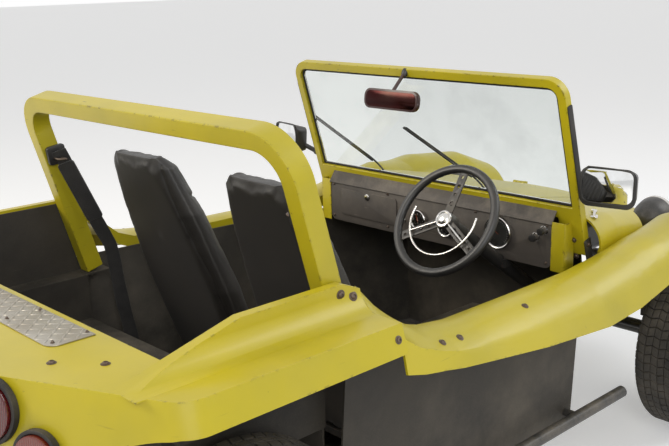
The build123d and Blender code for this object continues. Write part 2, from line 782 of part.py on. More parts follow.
def fuel_tank():
    tank = box(wheelbase - 273, wheelbase + 57, -235, 235, 560, 700)
    tank = fillet(tank.edges().filter_by(Axis.X), 40)
    tank += Pos(wheelbase - 113, -90, 712) * Cylinder(34, 30)
    for x in (wheelbase - 223, wheelbase - 23):
        tank += box(x, x + 30, -200, 200, 552, 562)
        for y in (-90, 60):
            tank += box(x, x + 30, y, y + 30, frame_top_z + fit, 556)
    return tank


column_lean = radians(column_tilt)
column_dir = Vector(cos(column_lean), 0, -sin(column_lean))


column_long = (foot_front_x - tub_wall - 30 - wheel_centre[0]) / cos(column_lean) - column_start


def steering_point(down):
    # Point on the steering column, a distance down from the middle of the wheel.
    return Vector(*wheel_centre) + column_dir * down


def steering_wheel():
    plane = Plane(origin=steering_point(0), x_dir=(0, 1, 0), z_dir=-column_dir)
    r, g = steering_radius, steering_grip
    ring = [(r + g * cos(radians(a)), g * sin(radians(a))) for a in range(0, 360, 45)]
    rim = plane * Rot(90, 0, 0) * revolve(make_face(Polyline(*ring, close=True).edges()), Axis.Y)
    spokes = []
    for k in range(3):
        bar = Pos(steering_radius / 2 + 12, 0) * Rectangle(steering_radius - 24, 30)
        holes = [Pos(55 + 30 * i, 0) * Circle(8 - i) for i in range(4)]
        spoke = bar
        for hole in holes:
            spoke -= hole
        spokes.append(plane.offset(-3) * Rot(0, 0, 120 * k - 90) * extrude(spoke, 4))
    wheel = rim
    for spoke in spokes:
        wheel += spoke
    wheel += plane.offset(-38) * extrude(Circle(28), 46)
    wheel += plane.offset(-90) * extrude(Circle(11), 60)
    return wheel


def steering_column():
    plane = Plane(origin=steering_point(column_start), x_dir=(0, 1, 0), z_dir=column_dir)
    column = plane * extrude(Circle(column_radius), column_long) - plane * extrude(Circle(11 + running), 50)
    hook = box(dash_x - 10, dash_x + 24, wheel_centre[1] - 30, wheel_centre[1] + 30,
               dash_bottom_z - 28, dash_bottom_z - fit)
    return column + hook


def controls():
    lever = rod((985, 0, tunnel_top_z + 3), (955, 0, 620), 7)
    knob = Pos(955, 0, 632) * Sphere(20)
    boot = Pos(985, 0, tunnel_top_z + fit + 16) * Cone(32, 12, 32)
    brake = rod((760, -26, tunnel_top_z + 12), (900, -26, 490), 9)
    brake += box(738, 778, -38, -14, tunnel_top_z + fit, tunnel_top_z + 16)
    pieces = [lever + knob + boot, brake]
    for y in (wheel_centre[1] + 122, wheel_centre[1] + 60, wheel_centre[1] - 60):
        x = foot_front_x - 140
        arm = rod((x, y, floor_z + floor_wall + 1.6), (x + 30, y, 420), 7)
        pad = Plane(origin=(x + 28, y, 420), z_dir=(-0.9, 0, 0.43)) * Box(62, 56, 12)
        pieces.append(arm + pad)
    return Compound(children=pieces)


def tyre(spec):
    # Closed ring from the bead to the tread, with bulged side walls.
    half, r = spec["width"] / 2, spec["radius"]
    low, lip = bead_radius + fit, bead_radius + rim_lip + 2
    bead, tread, middle = spec["rim_width"] / 2 - 10 - fit, spec["width"] / 2 - 14, (bead_radius + r) / 2 - 4
    shoulder = 26
    side = [(low, bead), (lip, bead), (middle - 38, half - 4), (middle + 6, half), (r - shoulder, tread),
            (r - 8, tread - 8), (r, tread - shoulder)]
    profile = side + [(x, -y) for x, y in side[::-1]]
    return revolve(make_face(Polyline(*profile, close=True).edges()), Axis.Y)


def rim(spec):
    # Barrel, spoked disc, hub with studs and the brake drum behind it; y points outwards.
    half, out = spec["rim_width"] / 2, spec["disc_out"]
    outer, lip, t = bead_radius, bead_radius + rim_lip, rim_wall
    profile = Polyline((outer, -half + 10), (outer, half - 10), (lip, half - 10), (lip, half - 4),
                       (lip - 6, half), (outer - 4, half), (outer - t, half - 10), (outer - t, -half + 10),
                       (outer - 4, -half), (lip - 6, -half), (lip, -half + 4), (lip, -half + 10), close=True)
    wheel = revolve(make_face(profile.edges()), Axis.Y)
    dish = 26
    disc = Polyline((spindle_radius + running, out - dish), (hub_radius, out - dish), (hub_radius + 20, out),
                    (outer - t - 12, out - 4), (outer - t + 1, out - 16), (outer - t + 1, out - 16 - disc_wall),
                    (outer - t - 14, out - 4 - disc_wall), (hub_radius + 16, out - disc_wall),
                    (hub_radius - 2, out - dish - disc_wall), (spindle_radius + running, out - dish - disc_wall),
                    close=True)
    face = revolve(make_face(disc.edges()), Axis.Y)
    window = Plane.XZ * Pos(134, 0) * Rectangle(62, 44)
    window = chamfer(window.vertices(), 10)
    for k in range(spoke_count):
        cut = extrude(window, 200, both=True)
        face -= Rot(0, 360 / spoke_count * k, 0) * cut
    wheel += face
    back = out - dish - disc_wall
    drum = Pos(0, back - drum_depth / 2, 0) * Rot(90, 0, 0) * Cylinder(drum_radius, drum_depth)
    bore = Pos(0, back - drum_depth / 2, 0) * Rot(90, 0, 0) * Cylinder(spindle_radius + running, drum_depth + 4)
    wheel += drum
    wheel -= bore
    cap = Pos(0, out - dish + 22, 0) * Rot(90, 0, 0) * Cylinder(30, 44)
    wheel += cap - Pos(0, out - dish + 16, 0) * Rot(90, 0, 0) * Cylinder(spindle_radius + running, 32)
    for k in range(stud_count):
        angle = 360 / stud_count * k
        wheel += Rot(0, angle, 0) * Pos(46, out - dish + 5, 0) * Rot(90, 0, 0) * Cylinder(9, 12)
    return wheel


def place_wheel(shape, spec, side):
    turned = shape if side > 0 else mirror(shape, about=Plane.XZ)
    return Pos(spec["x"], side * spec["half_track"], spec["radius"]) * turned


def back_plate_out(spec):
    # Distance from the middle of the car to the drum's inner face.
    return spec["half_track"] + spec["disc_out"] - 26 - disc_wall - drum_depth


def knuckle(side):
    spec = front_wheel
    x, z = spec["x"], spec["radius"]
    plate = back_plate_out(spec) - clear
    pivot = Pos(x, kingpin_out, z) * Cylinder(19, 2 * beam_gap - 40)
    pin = Pos(x, kingpin_out, z) * Cylinder(9, 2 * beam_gap + 28)
    body = pivot + pin
    body += Pos(x, (kingpin_out + plate) / 2, z) * Rot(90, 0, 0) * Cylinder(22, plate - kingpin_out)
    body += Pos(x, plate - 2, z) * Rot(90, 0, 0) * Cylinder(drum_radius + 3, 4)
    tip = spec["half_track"] + spec["disc_out"] - 26 + 30
    body += Pos(x, (kingpin_out + tip) / 2, z) * Rot(90, 0, 0) * Cylinder(spindle_radius, tip - kingpin_out)
    body += box(x - track_arm - 14, x, kingpin_out - 12, kingpin_out + 12, z + 16, z + arm_top)
    return body if side > 0 else other_side(body)


def track_rod():
    x, z = front_wheel["x"] - track_arm, front_wheel["radius"] + arm_top + fit + 11
    bar = rod((x, -kingpin_out, z), (x, kingpin_out, z), 9)
    for side in (-1, 1):
        bar += Pos(x, side * kingpin_out, z) * Cylinder(15, 22)
    return bar


def front_axle():
    z = front_wheel["radius"]
    x = front_wheel["x"]
    axle = box(beam_x - 26, beam_x + 26, -beam_half, -beam_half + 10, z - 95, z + 235)
    axle += box(beam_x - 26, beam_x + 26, beam_half - 10, beam_half, z - 95, z + 235)
    for dz in (-beam_gap, beam_gap):
        axle += Pos(beam_x, 0, z + dz) * Rot(90, 0, 0) * Cylinder(beam_radius, 2 * beam_half)
        for side in (-1, 1):
            y = side * (beam_half + 12)
            axle += box(x - 22, beam_x + 30, y - 12, y + 12, z + dz - 16, z + dz + 16)
    for side in (-1, 1):
        y0, y1 = side * (beam_half + 20), side * (kingpin_out + 18)
        ya, yb = min(y0, y1), max(y0, y1)
        for dz in (-beam_gap, beam_gap):
            eye = box(x - 22, x + 22, ya, yb, z + dz - 13, z + dz + 13)
            eye -= Pos(x, side * kingpin_out, z + dz) * Cylinder(9 + running, 40)
            axle += eye
        axle += rod((beam_x - 60, side * (beam_half + 12), z - 50), (beam_x - 30, side * (beam_half - 22), z + 222), 22)
    return axle


def rear_axle():
    z = rear_wheel["radius"]
    plate = back_plate_out(rear_wheel) - clear
    case = box(-100, 245, -95, 95, z - 105, z + 95)
    case = fillet(case.edges().filter_by(Axis.X), 40)
    bell = Pos(engine_front_x + fit + 30, 0, z) * Rot(0, 90, 0) * Cone(165, 120, 60)
    axle = case + bell
    for side in (-1, 1):
        tube = Pos(0, side * (90 + plate) / 2, z) * Rot(90, 0, 0) * Cylinder(33, plate - 90)
        disc = Pos(0, side * (plate - 2), z) * Rot(90, 0, 0) * Cylinder(drum_radius + 3, 4)
        tip = rear_wheel["half_track"] + rear_wheel["disc_out"] - 26 + 30
        spindle = Pos(0, side * (plate - 5 + tip) / 2, z) * Rot(90, 0, 0) * Cylinder(
            spindle_radius, tip - plate + 5)
        arm = box(shock_bar_x - 18, torsion_x + 40, side * arm_out - 5, side * arm_out + 5, z - 38, z + 34)
        hub_long = arm_out + 2 - torsion_half - fit
        hub = Pos(torsion_x, side * (torsion_half + fit + hub_long / 2), torsion_z)
        hub *= Rot(90, 0, 0) * Cylinder(40, hub_long)
        shock = rod((shock_bar_x, side * shock_out, z - 10),
                    (shock_bar_x, side * shock_out, shock_bar_z - tube_radius - fit), 24)
        eye = rod((shock_bar_x, side * shock_out, z + 10), (shock_bar_x, side * arm_out, z + 10), 11)
        axle += tube + disc + spindle + arm + hub + shock + eye
    return axle


def engine_barrel(x, z):
    # One finned barrel on the left: a core and square fins with cut corners.
    start = Plane.XZ.offset(-112)
    core = chamfer(Rectangle(2 * barrel_core, 2 * barrel_core).vertices(), 24)
    plate = chamfer(Rectangle(2 * barrel_radius, 2 * barrel_radius).vertices(), 20)
    barrel = extrude(start * core, -118)
    for i in range(barrel_fins):
        barrel += extrude(Plane.XZ.offset(-120 - 15 * i) * plate, -6)
    return Pos(x, 0, z) * barrel


def engine():
    z = engine_z
    front = engine_front_x
    block = box(front - 242, front, -120, 120, z - 120, z + 110)
    block = fillet(block.edges().filter_by(Axis.X), 30)
    for side in (-1, 1):
        for x in barrel_x:
            barrel = engine_barrel(x, z)
            block += barrel if side > 0 else other_side(barrel)
        head = box(front - 262, front + 2, 228, 310, z - barrel_radius, z + barrel_radius)
        head = fillet(head.edges().filter_by(Axis.X), 14)
        cover = box(front - 250, front - 10, 300, 345, z - 50, z + 42)
        cover = fillet(cover.faces().sort_by(Axis.Y)[-1].edges(), 14)
        top = head + cover
        block += top if side > 0 else other_side(top)
    shroud = Plane.YZ.offset(front - 95) * make_face([
        Edge.make_line((-285, 420), (285, 420)),
        Edge.make_line((285, 420), (270, 560)),
        Edge.make_line((270, 560), (205, 640)),
        Edge.make_three_point_arc((205, 640), (0, 822), (-205, 640)),
        Edge.make_line((-205, 640), (-270, 560)),
        Edge.make_line((-270, 560), (-285, 420))])
    block += extrude(shroud, 85)
    block += box(front - 92, front - 12, -110, 110, z + 100, 430)
    block += Pos(front - 165, 0, 660) * Rot(0, 90, 0) * Cylinder(48, 156)
    block += box(front - 210, front - 120, -38, 38, z + 100, 640)
    block += Pos(pulley_x, 0, 660) * Rot(0, 90, 0) * Cylinder(62, 20)
    block += Pos(pulley_x, 0, z - 10) * Rot(0, 90, 0) * Cylinder(88, 20)
    return block


def exhaust():
    x, z = -560, 262
    pipe = Pos(x, 0, z) * Rot(90, 0, 0) * Cylinder(62, 560)
    for side in (-1, 1):
        for top_x in barrel_x:
            run = Polyline((top_x, side * 265, engine_z - barrel_radius - fit), (top_x, side * 265, 218),
                           (top_x - 20, side * 263, 202), (x + 30, side * 250, 215))
            start = Plane(origin=run @ 0, z_dir=run % 0)
            pipe += sweep(start * Circle(19), path=run, transition=Transition.RIGHT)
        pipe += rod((x, side * 150, z - 30), (-rear_overhang + 6, side * 150, z - 44), 19)
    return pipe


pieces = {
    "floor_pan": floor_pan, "chassis_frame": chassis_frame, "tub": tub, "rear_tub": rear_tub,
    "rear_body": rear_body, "nose": nose, "hood": hood, "deck_plate": deck_plate,
    "roll_hoop": roll_hoop, "windscreen_frame": windscreen_frame, "windscreen_seal": windscreen_seal,
    "windscreen_glass": windscreen_glass, "dashboard": dashboard, "mirrors": mirrors,
    "tail_lamp_bezels": tail_lamp_bezels,
    "head_lamp_buckets": head_lamp_buckets, "head_lamp_lenses": head_lamp_lenses,
    "bumpers": bumpers, "side_bars": side_bars,
    "seat_frames": seat_frames, "seat_belts": seat_belts, "fuel_tank": fuel_tank,
    "steering_column": steering_column, "steering_wheel": steering_wheel, "controls": controls,
    "front_axle": front_axle, "track_rod": track_rod, "rear_axle": rear_axle,
    "engine": engine, "exhaust": exhaust,
}

if __name__ == "__main__":
    for name, make in pieces.items():
        save(name, make())
    save("side_bodies", both(side_body()))
    save("seat_backs", both(seat_back(1)))
    save("seat_bases", both(seat_base(1)))
    save("stop_lamp_lenses", lamp_lens(stop_lamp))
    save("turn_lamp_lenses", lamp_lens(turn_lamp))
    sides = (("left", 1), ("right", -1))
    for side_name, side in sides:
        save(f"knuckle_{side_name}", knuckle(side))
    for end, spec in (("front", front_wheel), ("rear", rear_wheel)):
        ring, centre = tyre(spec), rim(spec)
        for side_name, side in sides:
            save(f"tyre_{end}_{side_name}", place_wheel(ring, spec, side))
            save(f"rim_{end}_{side_name}", place_wheel(centre, spec, side))
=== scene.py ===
import math
import bpy
from mathutils import Matrix, Vector


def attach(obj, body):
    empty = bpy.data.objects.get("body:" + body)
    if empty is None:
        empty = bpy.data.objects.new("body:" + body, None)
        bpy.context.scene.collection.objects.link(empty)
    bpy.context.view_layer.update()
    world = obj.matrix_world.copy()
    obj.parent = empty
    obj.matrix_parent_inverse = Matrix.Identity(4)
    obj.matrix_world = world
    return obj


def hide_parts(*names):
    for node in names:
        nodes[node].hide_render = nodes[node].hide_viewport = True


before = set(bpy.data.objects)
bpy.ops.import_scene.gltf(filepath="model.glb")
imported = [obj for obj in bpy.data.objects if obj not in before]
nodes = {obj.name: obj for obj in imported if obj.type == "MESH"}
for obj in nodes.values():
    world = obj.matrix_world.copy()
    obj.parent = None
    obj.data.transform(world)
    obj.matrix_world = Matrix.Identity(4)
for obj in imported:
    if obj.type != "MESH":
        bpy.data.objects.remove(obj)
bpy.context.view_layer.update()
print("frame loaded,", len(nodes), "nodes")


def newObject(name, data):
    piece = bpy.data.objects.new(name, data)
    bpy.context.scene.collection.objects.link(piece)
    return piece


def axesTurn(x, y, z):
    return Matrix((x, y, z)).transposed().to_4x4()


# Camera at the photograph's angle

cameraSetup = {"place": (-2.0781, -2.1283, 1.6174), "yaw": 46.75, "pitch": -14.547, "roll": -1.427,
               "lens": 51.67, "sensor": 36.0, "nearest": 0.05}


def makeCamera(setup):
    yaw, pitch, roll = (math.radians(setup[k]) for k in ("yaw", "pitch", "roll"))
    ahead = Vector((math.cos(yaw) * math.cos(pitch), math.sin(yaw) * math.cos(pitch), math.sin(pitch)))
    right = Vector((math.sin(yaw), -math.cos(yaw), 0))
    up = right.cross(ahead)
    rightRolled = right * math.cos(roll) + up * math.sin(roll)
    upRolled = up * math.cos(roll) - right * math.sin(roll)
    data = bpy.data.cameras.new("photoCamera")
    data.lens = setup["lens"]
    data.sensor_width = setup["sensor"]
    data.sensor_fit = "HORIZONTAL"
    data.clip_start = setup["nearest"]
    camera = newObject("photoCamera", data)
    camera.matrix_world = Matrix.Translation(setup["place"]) @ axesTurn(rightRolled, upRolled, -ahead)
    bpy.context.scene.camera = camera


makeCamera(cameraSetup)
bpy.context.scene.view_settings.view_transform = "Standard"


# Helpers for shader trees

def newMaterial(name, **sockets):
    material = bpy.data.materials.new(name)
    material.use_nodes = True
    shader = material.node_tree.nodes["Principled BSDF"]
    for socket, value in sockets.items():
        shader.inputs[socket.replace("_", " ")].default_value = value
    return material, material.node_tree, shader


def feed(tree, socket, value):
    # A socket takes a number, a colour, a vector or a link
    if isinstance(value, (int, float)):
        socket.default_value = value
    elif isinstance(value, tuple):
        socket.default_value = (*value, 1)[:len(socket.default_value)]
    else:
        tree.links.new(value, socket)


def addNode(tree, kind, **settings):
    # Each setting is an input of the node or one of its properties
    node = tree.nodes.new(kind)
    for key, value in settings.items():
        label = key.replace("_", " ")
        if label in node.inputs:
            feed(tree, node.inputs[label], value)
        else:
            setattr(node, key, value)
    return node


def objectPlace(tree):
    return addNode(tree, "ShaderNodeTexCoord").outputs["Object"]


def noiseAt(tree, vector, scale, detail=3.0, roughness=0.55):
    return addNode(tree, "ShaderNodeTexNoise", Vector=vector, Scale=scale, Detail=detail,
                   Roughness=roughness).outputs["Fac"]


def bandsAt(tree, vector, direction, scale):
    return addNode(tree, "ShaderNodeTexWave", wave_type="BANDS", bands_direction=direction, Vector=vector,
                   Scale=scale).outputs["Fac"]


def ramp(tree, value, low, high):
    return addNode(tree, "ShaderNodeMapRange", Value=value, From_Min=low, From_Max=high).outputs["Result"]


def feedSlots(tree, node, pairs):
    for slot, value in pairs:
        feed(tree, node.inputs[slot], value)
    return node


def mathNode(tree, operation, a, b):
    node = addNode(tree, "ShaderNodeMath", operation=operation)
    return feedSlots(tree, node, ((0, a), (1, b))).outputs[0]


def times(tree, a, b):
    return mathNode(tree, "MULTIPLY", a, b)


def mixColour(tree, share, a, b):
    node = addNode(tree, "ShaderNodeMix", data_type="RGBA")
    return feedSlots(tree, node, ((0, share), (6, a), (7, b))).outputs[2]


def mixValue(tree, share, a, b):
    node = addNode(tree, "ShaderNodeMix", data_type="FLOAT")
    return feedSlots(tree, node, ((0, share), (2, a), (3, b))).outputs[0]


def shade(colour, share):
    return tuple(share * part for part in colour)


def newGroup(name, inputs, outputs):
    group = bpy.data.node_groups.new(name, "ShaderNodeTree")
    for label, kind, value in inputs:
        socket = group.interface.new_socket(label, in_out="INPUT", socket_type=kind)
        socket.default_value = value
    for label, kind in outputs:
        group.interface.new_socket(label, in_out="OUTPUT", socket_type=kind)
    return group, group.nodes.new("NodeGroupInput").outputs, group.nodes.new("NodeGroupOutput").inputs


def useGroup(tree, group, **values):
    node = tree.nodes.new("ShaderNodeGroup")
    node.node_tree = group
    for label, value in values.items():
        feed(tree, node.inputs[label.replace("_", " ")], value)
    return node


def addBump(tree, shader, height, strength, distance):
    bump = addNode(tree, "ShaderNodeBump", Height=height, Strength=strength, Distance=distance)
    tree.links.new(bump.outputs["Normal"], shader.inputs["Normal"])


# Effects that several finishes share

dustLook = {"tint": (0.55, 0.47, 0.36, 1), "patches": (0.42, 0.72), "speckScale": 420.0,
            "specks": (0.5, 0.78),
            "speckShare": 0.5, "upward": (-0.2, 0.9), "upShare": 0.7, "low": (0.75, 0.15), "lowShare": 0.6,
            "rough": 0.9}


def heightOf(tree, vector):
    return addNode(tree, "ShaderNodeSeparateXYZ", Vector=vector).outputs["Z"]


def makeDustGroup(look):
    # Pale dust that settles on upward faces and gathers low on the car
    group, given, out = newGroup("beachDust", (
        ("Colour", "NodeSocketColor", (0.5, 0.5, 0.5, 1)),
        ("Dust", "NodeSocketColor", look["tint"]),
        ("Amount", "NodeSocketFloat", 0.3),
        ("Scale", "NodeSocketFloat", 6.0),
        ("Roughness", "NodeSocketFloat", 0.4),
    ), (("Colour", "NodeSocketColor"), ("Roughness", "NodeSocketFloat")))
    place = objectPlace(group)
    normal = addNode(group, "ShaderNodeNewGeometry").outputs["Normal"]
    patches = ramp(group, noiseAt(group, place, given["Scale"], 5.0, 0.6), *look["patches"])
    specks = ramp(group, noiseAt(group, place, look["speckScale"], 2.0), *look["specks"])
    upward = ramp(group, heightOf(group, normal), *look["upward"])
    low = ramp(group, heightOf(group, place), *look["low"])
    base = mathNode(group, "ADD", times(group, upward, look["upShare"]), times(group, low, look["lowShare"]))
    spread = mathNode(group, "ADD", patches, times(group, specks, look["speckShare"]))
    mask = mathNode(group, "MINIMUM", times(group, times(group, base, spread), given["Amount"]), 1.0)
    feed(group, out["Colour"], mixColour(group, mask, given["Colour"], given["Dust"]))
    feed(group, out["Roughness"], mixValue(group, mask, given["Roughness"], look["rough"]))
    return group


chipLook = {"bare": (0.08, 0.06, 0.03, 1), "edges": (0.995, 0.86), "chipScale": 46.0, "chips": (0.54, 0.6),
            "wideScale": 5.0, "wide": (0.38, 0.7), "least": 0.35, "stretch": (7.0, 7.0, 160.0),
            "slant": (0.5, 0.35, 0.2), "lineScale": 1.6, "lines": (0.72, 0.78), "spotScale": 60.0,
            "spots": (0.7, 0.74)}


def makeChipGroup(look):
    # Paint chipped along edges and scratched on the faces, down to a dark primer
    group, given, out = newGroup("edgeChips", (
        ("Colour", "NodeSocketColor", (0.5, 0.5, 0.5, 1)),
        ("Bare", "NodeSocketColor", look["bare"]),
        ("Edge Width", "NodeSocketFloat", 0.004),
        ("Amount", "NodeSocketFloat", 0.5),
        ("Scratches", "NodeSocketFloat", 0.3),
    ), (("Colour", "NodeSocketColor"), ("Height", "NodeSocketFloat")))
    place = objectPlace(group)
    rounded = addNode(group, "ShaderNodeBevel", samples=4, Radius=given["Edge Width"]).outputs[0]
    normal = addNode(group, "ShaderNodeNewGeometry").outputs["Normal"]
    dot = addNode(group, "ShaderNodeVectorMath", operation="DOT_PRODUCT")
    edge = ramp(group, feedSlots(group, dot, ((0, rounded), (1, normal))).outputs["Value"], *look["edges"])
    chips = ramp(group, noiseAt(group, place, look["chipScale"], 6.0, 0.7), *look["chips"])
    wide = ramp(group, noiseAt(group, place, look["wideScale"], 2.0), *look["wide"])
    worn = times(group, times(group, edge, chips), mathNode(group, "ADD", wide, look["least"]))
    worn = times(group, worn, given["Amount"])
    stretch = addNode(group, "ShaderNodeMapping", Vector=place, Scale=look["stretch"], Rotation=look["slant"])
    lines = ramp(group, noiseAt(group, stretch.outputs[0], look["lineScale"], 2.0), *look["lines"])
    spots = ramp(group, noiseAt(group, place, look["spotScale"], 4.0, 0.65), *look["spots"])
    marks = times(group, mathNode(group, "MAXIMUM", lines, spots), given["Scratches"])
    mask = mathNode(group, "MINIMUM", mathNode(group, "MAXIMUM", worn, marks), 1.0)
    feed(group, out["Colour"], mixColour(group, mask, given["Colour"], given["Bare"]))
    feed(group, out["Height"], mathNode(group, "SUBTRACT", 1.0, mask))
    return group


grainLook = {"rippleScale": 24.0, "toneScale": 9.0}


def makeGrainGroup(look):
    # Fine cast, leather or rubber grain for bump
    group, given, out = newGroup("surfaceGrain", (
        ("Scale", "NodeSocketFloat", 300.0),
        ("Ripple", "NodeSocketFloat", 0.3),
    ), (("Height", "NodeSocketFloat"), ("Tone", "NodeSocketFloat")))
    place = objectPlace(group)
    cells = addNode(group, "ShaderNodeTexVoronoi", feature="F1", Vector=place, Scale=given["Scale"])
    ripple = times(group, noiseAt(group, place, look["rippleScale"], 3.0), given["Ripple"])
    feed(group, out["Height"], mathNode(group, "ADD", cells.outputs["Distance"], ripple))
    feed(group, out["Tone"], noiseAt(group, place, look["toneScale"], 4.0))
    return group


dustGroup, chipGroup, grainGroup = makeDustGroup(dustLook), makeChipGroup(chipLook), makeGrainGroup(grainLook)


# Finishes

def dustOver(tree, shader, colour, look, patch, **more):
    # Dust over a colour, and both onto the shader
    dust = useGroup(tree, dustGroup, Colour=colour, Amount=look["dust"], Scale=patch, Roughness=look["rough"],
                    **more)
    tree.links.new(dust.outputs["Colour"], shader.inputs["Base Color"])
    tree.links.new(dust.outputs["Roughness"], shader.inputs["Roughness"])


def paintedFinish(name, look):
    # Sprayed paint: faded patches, chips, dust and orange peel
    material, tree, shader = newMaterial(name, Coat_Weight=look["coat"], Coat_Roughness=0.18,
                                         Metallic=look.get("metal", 0.0))
    place = objectPlace(tree)
    tone = ramp(tree, noiseAt(tree, place, 3.2, 4.0), 0.35, 0.68)
    chips = useGroup(tree, chipGroup, Colour=mixColour(tree, tone, look["colour"], look["faded"]),
                     Bare=look["bare"], Edge_Width=look["edge"], Amount=look["chips"],
                     Scratches=look["scratches"])
    dustOver(tree, shader, chips.outputs["Colour"], look, look["patch"])
    peel = times(tree, noiseAt(tree, place, 150.0, 2.0), look["peel"])
    addBump(tree, shader, mathNode(tree, "ADD", chips.outputs["Height"], peel), 0.35, 0.0008)
    return material


paintLooks = {
    "bodyYellow": {"colour": (0.56, 0.455, 0.007), "faded": (0.46, 0.38, 0.010), "bare": (0.10, 0.075, 0.012),
                   "edge": 0.008, "chips": 1.1, "scratches": 0.30, "dust": 0.11, "patch": 5.0, "rough": 0.40,
                   "coat": 0.20, "peel": 0.5},
    "hoopYellow": {"colour": (0.55, 0.45, 0.008), "faded": (0.43, 0.36, 0.012), "bare": (0.085, 0.060, 0.012),
                   "edge": 0.009, "chips": 1.6, "scratches": 0.9, "dust": 0.12, "patch": 9.0, "rough": 0.42,
                   "coat": 0.15, "peel": 0.7},
    "blackPaint": {"colour": (0.016, 0.016, 0.016), "faded": (0.030, 0.028, 0.026),
                   "bare": (0.16, 0.08, 0.04),
                   "edge": 0.003, "chips": 0.8, "scratches": 0.4, "dust": 0.28, "patch": 7.0, "rough": 0.5,
                   "coat": 0.15, "peel": 0.8},
    "darkTub": {"colour": (0.022, 0.019, 0.015), "faded": (0.045, 0.038, 0.028), "bare": (0.10, 0.09, 0.07),
                "edge": 0.003, "chips": 0.3, "scratches": 0.3, "dust": 0.26, "patch": 4.0, "rough": 0.7,
                "coat": 0.0, "peel": 1.2},
    "dashGrey": {"colour": (0.060, 0.052, 0.046), "faded": (0.095, 0.082, 0.070), "bare": (0.25, 0.22, 0.18),
                 "edge": 0.002, "chips": 0.5, "scratches": 0.5, "dust": 0.4, "patch": 12.0, "rough": 0.62,
                 "coat": 0.0, "peel": 1.0},
    "rimSilver": {"colour": (0.52, 0.52, 0.51), "faded": (0.38, 0.37, 0.35), "bare": (0.14, 0.08, 0.05),
                  "edge": 0.002, "chips": 0.5, "scratches": 0.4, "dust": 0.5, "patch": 8.0, "rough": 0.36,
                  "coat": 0.1, "peel": 0.4, "metal": 0.6},
}


def metalFinish(name, look):
    material, tree, shader = newMaterial(name, Metallic=look["metal"])
    grain = useGroup(tree, grainGroup, Scale=look["grain"], Ripple=0.5)
    colour = mixColour(tree, grain.outputs["Tone"], look["colour"], look["stained"])
    dustOver(tree, shader, colour, look, 9.0, Dust=look["dirt"])
    addBump(tree, shader, grain.outputs["Height"], look["bump"], 0.0008)
    return material


metalLooks = {
    "castAlloy": {"colour": (0.36, 0.36, 0.35), "stained": (0.16, 0.14, 0.12), "metal": 0.85, "rough": 0.48,
                  "grain": 380.0, "dust": 0.7, "dirt": (0.09, 0.07, 0.05), "bump": 0.35},
    "treadAlloy": {"colour": (0.55, 0.52, 0.46), "stained": (0.30, 0.27, 0.22), "metal": 0.9, "rough": 0.34,
                   "grain": 500.0, "dust": 0.35, "dirt": (0.30, 0.24, 0.16), "bump": 0.2},
    "chrome": {"colour": (0.75, 0.74, 0.72), "stained": (0.55, 0.52, 0.48), "metal": 1.0, "rough": 0.14,
               "grain": 700.0, "dust": 0.25, "dirt": (0.30, 0.26, 0.20), "bump": 0.05},
    "exhaustSteel": {"colour": (0.22, 0.18, 0.15), "stained": (0.10, 0.055, 0.035), "metal": 0.8,
                     "rough": 0.6, "grain": 240.0, "dust": 0.6, "dirt": (0.20, 0.15, 0.10), "bump": 0.5},
    "boltSteel": {"colour": (0.20, 0.17, 0.14), "stained": (0.08, 0.045, 0.03), "metal": 0.8, "rough": 0.5,
                  "grain": 600.0, "dust": 0.3, "dirt": (0.12, 0.07, 0.04), "bump": 0.3},
}
metalLooks["mirrorTint"] = {**metalLooks["chrome"], "colour": (0.040, 0.009, 0.009),
                            "stained": (0.025, 0.007, 0.007)}


def softFinish(name, look):
    # Rubber, plastic and vinyl: a grain, a slight tone change and dust
    material, tree, shader = newMaterial(name, Sheen_Weight=look.get("sheen", 0.0),
                                         Coat_Weight=look.get("coat", 0.0))
    grain = useGroup(tree, grainGroup, Scale=look["grain"], Ripple=look["ripple"])
    dustOver(tree, shader, mixColour(tree, grain.outputs["Tone"], look["colour"], look["worn"]), look, 7.0)
    addBump(tree, shader, grain.outputs["Height"], look["bump"], 0.0007)
    return material


softLooks = {
    "tyreRubber": {"colour": (0.018, 0.017, 0.016), "worn": (0.040, 0.037, 0.033), "grain": 260.0,
                   "ripple": 0.6, "dust": 0.26, "rough": 0.78, "bump": 0.3},
    "blackVinyl": {"colour": (0.012, 0.011, 0.010), "worn": (0.026, 0.022, 0.018), "grain": 620.0,
                   "ripple": 0.5, "dust": 0.10, "rough": 0.48, "bump": 0.35, "sheen": 0.05, "coat": 0.04},
    "blackPlastic": {"colour": (0.014, 0.014, 0.014), "worn": (0.028, 0.026, 0.024), "grain": 500.0,
                     "ripple": 0.2, "dust": 0.12, "rough": 0.40, "bump": 0.15, "coat": 0.06},
    "mirrorShell": {"colour": (0.050, 0.008, 0.007), "worn": (0.028, 0.010, 0.009), "grain": 500.0,
                    "ripple": 0.2, "dust": 0.2, "rough": 0.35, "bump": 0.12, "coat": 0.2},
    "sealRubber": {"colour": (0.008, 0.008, 0.008), "worn": (0.020, 0.019, 0.018), "grain": 300.0,
                   "ripple": 0.2, "dust": 0.3, "rough": 0.7, "bump": 0.2},
}


def lensFinish(name, colour, ribs):
    # Moulded lamp lens: dyed plastic over fine vertical ribs, with painted shade darkening the grooves
    # between the ribs
    material, tree, shader = newMaterial(name, Roughness=0.14, Coat_Weight=0.6, IOR=1.5)
    place = objectPlace(tree)
    wave = bandsAt(tree, place, "Y", ribs)
    # painted shade: the colour falls to 55% in the rib grooves, where the wave that raises the ribs is low
    tone = mixColour(tree, wave, shade(colour, 0.55), colour)
    patches = ramp(tree, noiseAt(tree, place, 18.0, 3.0), 0.3, 0.8)
    feed(tree, shader.inputs["Base Color"], mixColour(tree, patches, tone, shade(colour, 0.7)))
    addBump(tree, shader, wave, 0.5, 0.001)
    return material


